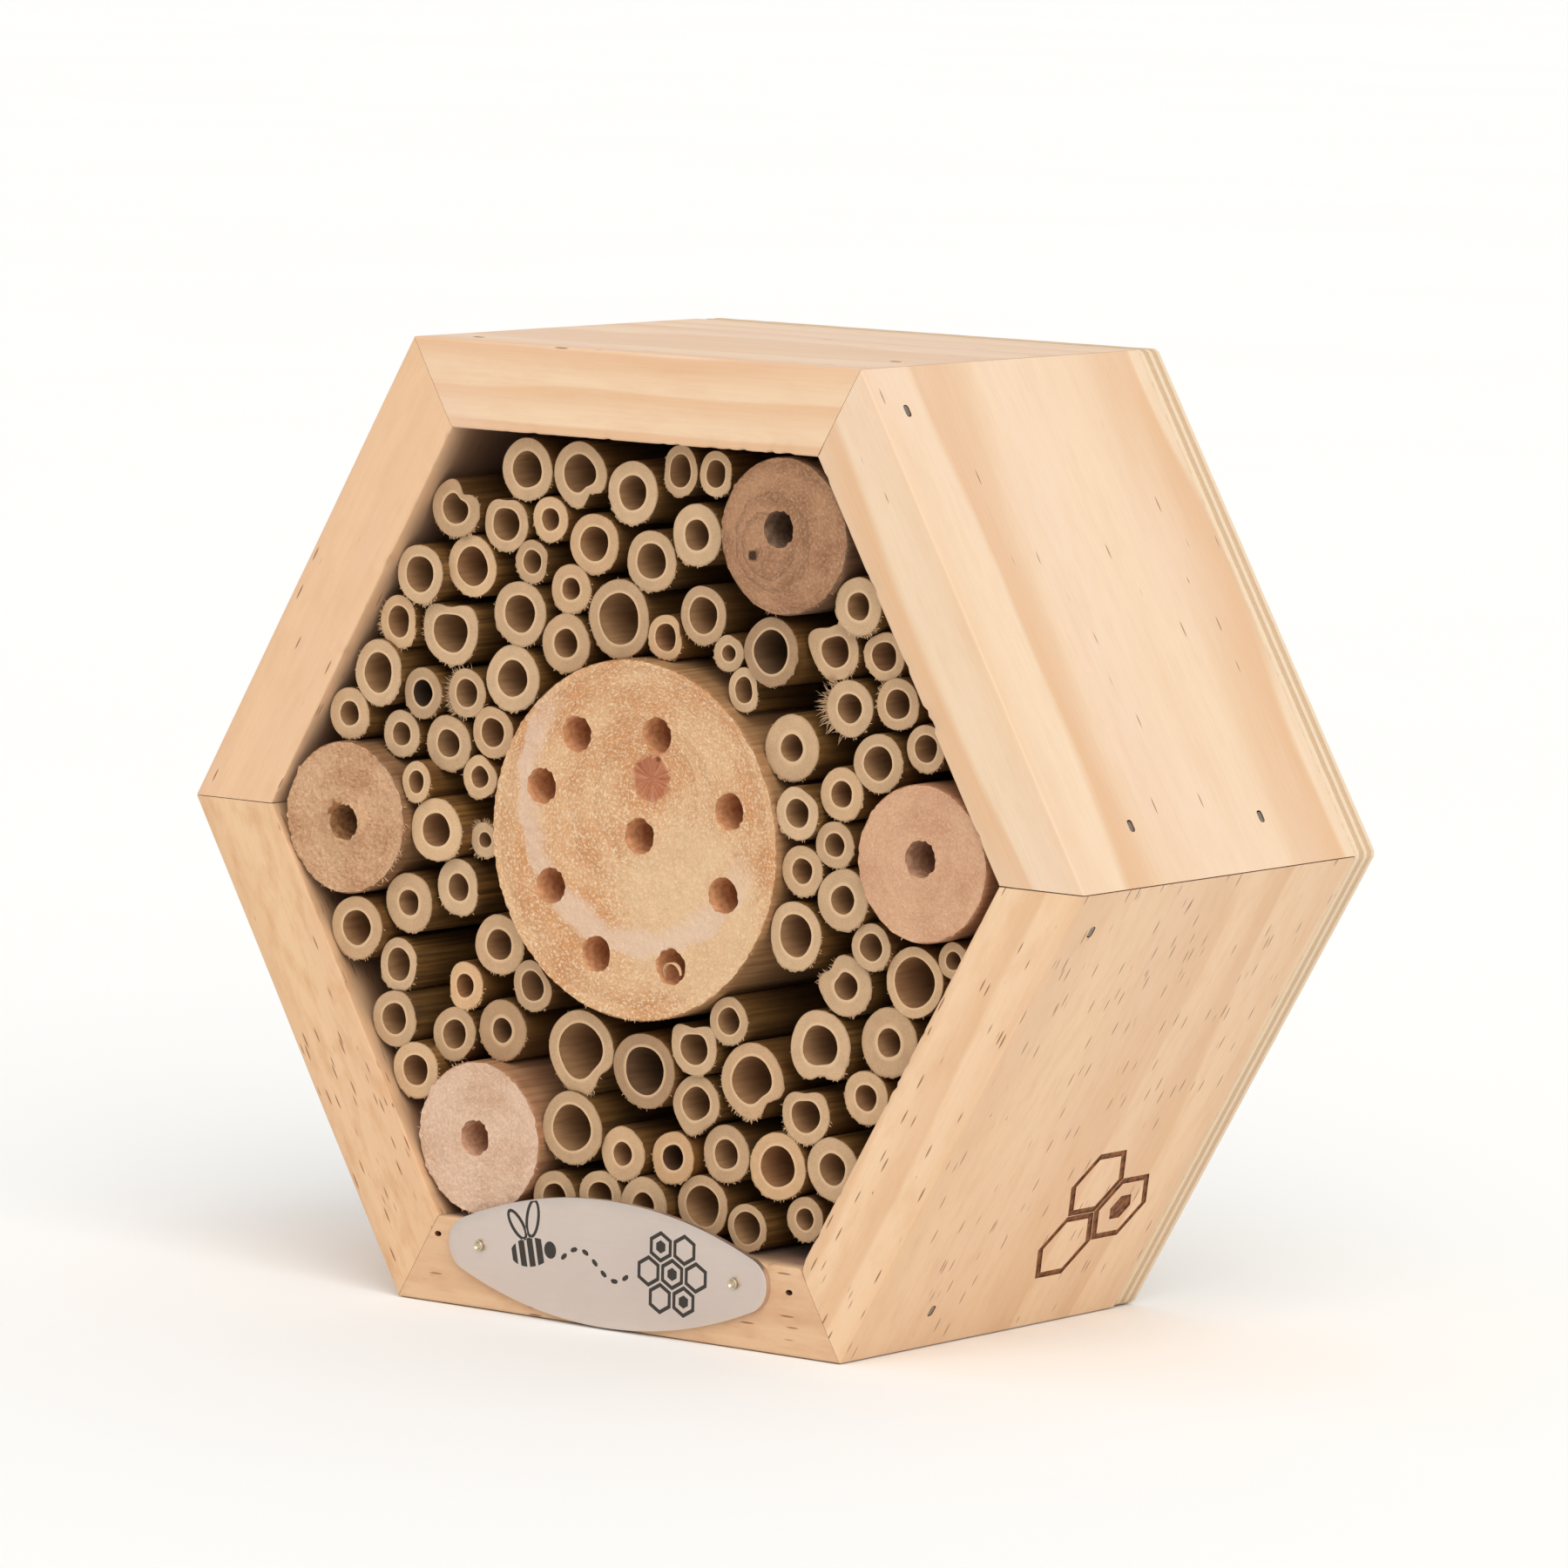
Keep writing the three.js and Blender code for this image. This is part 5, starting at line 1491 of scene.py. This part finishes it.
# %% The canes that stand out
CHARACTERS = {
    "canes_top_1_1": {"dents": [(92, 0.2, 30)]},
    "canes_top_1_3": {"dents": [(-5, 0.22, 42)], "fray": (-110, 30, 0.6), "shade": 0.25},
    "canes_top_1_4": {"warm": 0.35},
    "canes_top_2_2": {"shade": 0.35, "fray": (-60, 50, 0.5)},
    "canes_top_2_3": {"dents": [(-58, 0.3, 20)], "lobes": [(-92, 0.1, 22)]},
    "canes_top_3_1": {"shade": 0.8},
    "canes_top_4_1": {"dents": [(175, 0.16, 32)], "oval": 0.12},
    "canes_top_4_2": {"dents": [(-5, 0.12, 34)], "oval": 0.1},
    "canes_top_5_1": {"oval": 0.05, "shade": 0.3},
    "canes_top_5_2": {"dents": [(15, 0.28, 34)], "warm": 0.5, "shade": 0.45},
    "canes_top_5_4": {"shade": 0.55, "dents": [(70, 0.12, 30)]},
    "canes_upper_left_1_1": {"fray": (-70, 30, 1.0), "shade": 0.7},
    "canes_upper_left_1_2": {"dents": [(58, 0.42, 24)], "fray": (-60, 50, 0.7), "shade": 0.3},
    "canes_upper_left_1_3": {"lobes": [(150, 0.05, 30)], "shade": 0.75},
    "canes_upper_left_2_1": {"dents": [(10, 0.14, 40)], "fray": (-150, 60, 1.1), "oval": 0.1},
    "canes_upper_left_2_2": {"dents": [(92, 0.3, 36)], "lobes": [(40, 0.08, 20), (140, 0.08, 20)],
                             "fray": (170, 24, 0.9)},
    "canes_upper_left_3_2": {"oval": 0.14, "shade": 0.7},
    "canes_upper_left_3_3": {"oval": 0.1, "dark": 0.35, "black": 0.9},
    "canes_upper_left_4_1": {"fray": (190, 75, 1.6), "oval": 0.06, "shade": 0.4},
    "canes_left_1_2": {"warm": 0.3, "oval": 0.12},
    "canes_left_1_4": {"dents": [(50, 0.14, 34)], "shade": 0.7},
    "canes_left_2_2": {"shade": 1.0},
    "canes_left_2_3": {"dents": [(4, 0.2, 38)], "shade": 0.8},
    "canes_left_2_4": {"fray": (110, 120, 1.2), "dents": [(60, 0.12, 30)], "shade": 0.9},
    "canes_left_3_3": {"dents": [(-10, 0.1, 40)], "oval": 0.06},
    "canes_left_4_2": {"dents": [(-42, 0.16, 36)]},
    "canes_left_4_3": {"dents": [(178, 0.24, 46)], "warm": 0.85, "fray": (-60, 40, 0.7)},
    "canes_left_5_2": {"dark": 0.3, "shade": 0.2},
    "canes_left_5_3": {"dents": [(40, 0.28, 40)], "shade": 0.3},
    "cane_lower_left_1": {"dents": [(-44, 0.2, 22)], "lobes": [(-75, 0.08, 20)], "fray": (-95, 45, 0.9)},
    "cane_lower_middle_1": {"lobes": [(172, 0.1, 30)], "dark": 0.55, "warm": 0.3},
    "canes_bottom_1_2": {"dark": 0.2, "warm": 1.0, "black": 0.75, "lobes": [(-120, 0.12, 26)]},
    "canes_bottom_4_2": {"dents": [(92, 0.26, 36)], "lobes": [(45, 0.06, 18)], "fray": (-135, 40, 0.8)},
    "canes_bottom_4_1": {"warm": 0.6},
    "canes_bottom_5_1": {"dents": [(-58, 0.16, 30)], "lobes": [(-105, 0.16, 24)], "fray": (-80, 30, 0.7)},
    "canes_bottom_6_1": {"dents": [(92, 0.3, 40)], "lobes": [(142, 0.16, 20), (42, 0.12, 18)]},
    "canes_bottom_6_3": {"dents": [(-48, 0.3, 26)], "lobes": [(-85, 0.06, 22)], "fray": (-100, 40, 0.8)},
    "canes_lower_right_1_1": {"dents": [(-84, 0.24, 26)], "lobes": [(-52, 0.12, 16), (-125, 0.05, 20)]},
    "canes_lower_right_3_1": {"lobes": [(-120, 0.1, 30)], "oval": 0.06},
    "canes_lower_right_3_2": {"dents": [(140, 0.22, 22)], "lobes": [(178, 0.12, 20)],
                              "fray": (150, 35, 0.9)},
    "canes_right_2_1": {"dents": [(60, 0.14, 36)], "shade": 0.85},
    "canes_right_3_1": {"dents": [(0, 0.2, 44)], "oval": 0.12},
    "canes_right_3_2": {"dark": 0.6, "warm": 0.2},
    "canes_upper_right_1_1": {"dents": [(112, 0.14, 24)], "lobes": [(158, 0.24, 24)]},
    "canes_upper_right_1_2": {"fray": (172, 50, 2.6), "shade": 0.6},
    "canes_upper_right_1_3": {"fray": (-75, 45, 0.8), "shade": 0.7},
    "canes_upper_right_1_4": {"dents": [(120, 0.1, 30)], "warm": 0.25},
    "canes_upper_right_1_5": {"fray": (160, 30, 1.0), "dark": 0.1},
}
print(len(CHARACTERS), "canes with a character of their own")

# %% [markdown]
# Two neighbours are dug into each other by less than a tenth of a millimetre in places,
# where the real ones are squeezed together. The torn fibres of a frayed lip are thin
# closed cones, part of the same piece, as they are on the logs. Every rim has a few, and
# the frayed ones have many.

# %% Cut the canes
AROUND = 64
WALL = np.array([0.0, 0.05, 0.18, 0.4, 0.62, 0.8, 0.93, 1.0])  # shares of the wall, from the skin in
DEEP = np.array([0.5, 1.5, 3.5, 6.5, 11, 18, 28, 42, 58])


def bumps(turns, shapes):
    """How far a set of smooth bumps reaches at each bearing."""
    total = np.zeros_like(turns)
    for bearing, depth, width in shapes:
        off = (np.degrees(turns) - bearing + 180) % 360 - 180
        total += depth * np.exp(-((off / width) ** 2))
    return total


def cane(name, node, seed, outside, bore, nodes):
    rng = np.random.default_rng(seed)
    radius, x, z, y = outside
    hollow = bore[0]
    back = span_of(node)[1][1]
    odd = CHARACTERS.get(name, {})
    turns = np.linspace(0, 2 * math.pi, AROUND, endpoint=False)
    phase = rng.uniform(0, 2 * math.pi, 5)
    size = [0, 0.012, 0.012, 0.008, 0.005]
    uneven = sum(size[k] * np.cos((k + 1) * turns + phase[k]) for k in range(1, 5))
    oval = odd.get("oval", 0) * np.cos(2 * (turns - math.pi / 2)) / 2
    dents, lobes = bumps(turns, odd.get("dents", [])), bumps(turns, odd.get("lobes", []))
    outer = radius * (1.025 + uneven + oval - dents + lobes)
    softened = bumps(turns, [(at, depth, width * 1.45) for at, depth, width in odd.get("dents", [])])
    inner = hollow * (1.0 + 1.3 * uneven + 1.2 * oval - 0.75 * softened + 0.1 * lobes)
    inner = np.minimum(inner, outer - 0.6)
    tilt, tilt_way = math.tan(math.radians(rng.uniform(0, 1.6))), rng.uniform(0, 2 * math.pi)
    drift = rng.normal(size=2) * 0.25 / 78

    def ring(reach, depth, rough=0.0, level=0.0):
        px, pz = reach * np.cos(turns), reach * np.sin(turns)
        points = np.stack([px, np.zeros(AROUND), pz], axis=1)
        fade = max(0.0, 1 - depth / 3)
        py = y + depth + level + fade * tilt * (px * math.cos(tilt_way) + pz * math.sin(tilt_way))
        if rough:
            py = py + rough * ripple(points, 0.5, seed)
        return np.stack([x + px + drift[0] * depth, py, z + pz + drift[1] * depth], axis=1)

    length = back - y
    sizes = [1 + 0.006 * math.sin(depth / 7 + phase[0]) for depth in DEEP]
    joint = rng.uniform(9, 60)
    rings, zones, shares = [], [], []

    def put(points, zone, share):
        rings.append(points)
        zones.append(zone)
        shares.append(share)

    lip = bumps(turns, [(math.degrees(rng.uniform(-2.6, -0.5)), 1.0, 55)])
    circle = np.stack([np.cos(turns), np.sin(turns), 0 * turns], axis=1) * radius
    burr = lip * np.abs(ripple(circle, 0.55, seed + 5))
    frill = ripple(circle, 0.7, seed + 9)
    for i, share in enumerate(WALL):
        reach = outer + (inner - outer) * share
        level = 0.0
        if i == 0:
            reach = outer - 0.08 + 0.75 * burr + 0.14 * frill
            level = 0.16 - 0.3 * burr
        put(ring(reach, 0.0, 0.05, level), 0, share)
    for depth in DEEP:
        fold = 1 + 0.02 * math.sin(depth / 3 + phase[1])
        put(ring(inner * fold, depth), 2, 1.0)
    put(ring(inner * 1.01, length), 2, 1.0)
    put(ring(outer * 0.985, length), 0, 0.0)
    put(ring(outer, length - 0.5), 1, 0.0)
    for depth, swell in zip(DEEP[::-1], sizes[::-1]):
        knuckle = 0.035 * math.exp(-(((depth - joint) / 1.5) ** 2))
        put(ring(outer * (swell + knuckle), depth), 1, 0.0)
    vertices, faces = loft(rings, closed=True)
    slots = []
    for here, there in zip(zones, zones[1:] + zones[:1]):
        slots += [there if here == 0 and there != 0 else here] * AROUND
    slots[-AROUND:] = [1] * AROUND
    across = np.repeat(shares, AROUND)
    fringes = [(rng.uniform(-150, -30), 75, 0.55, 16)]
    if "fray" in odd:
        bearing, width, longest = odd["fray"]
        fringes.append((bearing, width, longest, int(width * (0.5 + 0.6 * longest))))
    for fringe in fringes:
        more, extra = fibres(rng, outer, y, fringe)
        start = len(vertices)
        vertices = np.vstack([vertices, np.array(more) + [x, 0, z]])
        faces += [[start + i for i in face] for face in extra]
        slots += [0] * len(extra)
        across = np.append(across, np.full(len(more), 0.45))
    made = piece(name, vertices, faces, CULM, slots, sharp=48)
    give(made, "cane", mesh_points(made) - [x, y, z] + [31.0 * seed, 17.0 * seed, 0])
    give(made, "across", across)
    shade = odd.get("shade", rng.uniform(0.3, 0.8))
    warm = odd.get("warm", max(0.0, rng.uniform(-0.35, 0.35)))
    dark = odd.get("dark", 0.0)
    own = np.tile([shade, warm, dark], (len(made.data.vertices), 1))
    if "black" in odd:
        inside_bore = across >= 0.999
        own[inside_bore, 2] = odd["black"]
    give(made, "own", own)
    fit(made, "bamboo", *nodes)
    return made


canes = []
for node in sorted(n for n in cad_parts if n.startswith("cane")):
    ends = sorted(front_loops(node), key=lambda loops: loops[0][1])
    for i, (outside, bore) in enumerate(ends):
        name = f"{node}_{i + 1}"
        canes.append(cane(name, node, len(canes) + 1, outside, bore, (node,) if i == 0 else ()))
print(len(canes), "canes,", sum(len(c.data.polygons) for c in canes), "faces")

# %% [markdown]
# ## Studio
#
# The hotel stands on a pale floor that runs on to the horizon, under a white sky that
# fills every shadow. One very soft light from above, in front and on the right models the
# box. It is a sun lamp, so that it lights the floor evenly, all the way back.

# %% Floor
def floor():
    """Matt white paint has no gloss, so it shows nothing but the soft shadow."""
    material, tree, surface = blank("matt_white_paint", Roughness=0.8, Specular_IOR_Level=0.2)
    place = add(tree, "TexCoord", {})["Object"]
    mottle = add(tree, "TexNoise", {"Vector": place, "Scale": 3.0, "Detail": 2.0})["Fac"]
    colour = add(tree, "Mix", {0: mottle, 6: linear("#FAFAF9"), 7: linear("#F7F7F6")}, **RGB)[2]
    tree.links.new(colour, surface["Base Color"])
    turns = np.linspace(0, 2 * math.pi, 96, endpoint=False)
    ring = np.stack([np.cos(turns), np.sin(turns), np.zeros(96)], axis=1)
    rings = [ring * 20000 + [0, 0, z] for z in (-0.2, -20.0)]
    vertices, faces = loft(rings)
    made = piece("studio_floor", vertices, faces, [material])


floor()
print("floor laid")

# %% Light
lamp = bpy.data.lights.new("key", "SUN")
lamp.energy, lamp.angle, lamp.color = 1.5, math.radians(50), linear("#FFFDF8")[:3]
key = bpy.data.objects.new("key", lamp)
key.rotation_euler = Vector((0.55, -0.5, 0.67)).to_track_quat("Z", "Y").to_euler()
bpy.context.collection.objects.link(key)
world = bpy.data.worlds.new("white_sky")
world.use_nodes = True
world.node_tree.nodes["Background"].inputs["Color"].default_value = (1, 1, 1, 1)
world.node_tree.nodes["Background"].inputs["Strength"].default_value = 0.76
bpy.context.scene.world = world
bpy.context.scene.view_settings.view_transform = "Standard"
print("one soft light and a white sky")

# %% [markdown]
# The camera stands 1.7 m away with a long lens, a little above the middle of the hotel and
# to its right. It is turned 37.5 degrees from the front, looks 6.5 degrees down, and leans
# by just over a degree.

# %% Camera
YAW, PITCH, ROLL = (math.radians(a) for a in (37.52, 6.51, 1.21))
lens = bpy.data.cameras.new("long_lens")
lens.sensor_width, lens.lens = 36, 217.0
lens.clip_start, lens.clip_end = 0.1, 100
eye = bpy.data.objects.new("camera", lens)
ahead = Vector((-math.sin(YAW) * math.cos(PITCH), math.cos(YAW) * math.cos(PITCH), -math.sin(PITCH)))
right = Vector((math.cos(YAW), math.sin(YAW), 0))
upwards = right.cross(ahead)
leaning_right = math.cos(ROLL) * right + math.sin(ROLL) * upwards
leaning_up = -math.sin(ROLL) * right + math.cos(ROLL) * upwards
turned = Matrix((leaning_right, leaning_up, -ahead)).transposed().to_4x4()
eye.matrix_world = Matrix.Translation((1.02807, -1.33766, 0.28625)) @ turned
bpy.context.collection.objects.link(eye)
bpy.context.scene.camera = eye
print("camera", [round(v, 2) for v in eye.location])
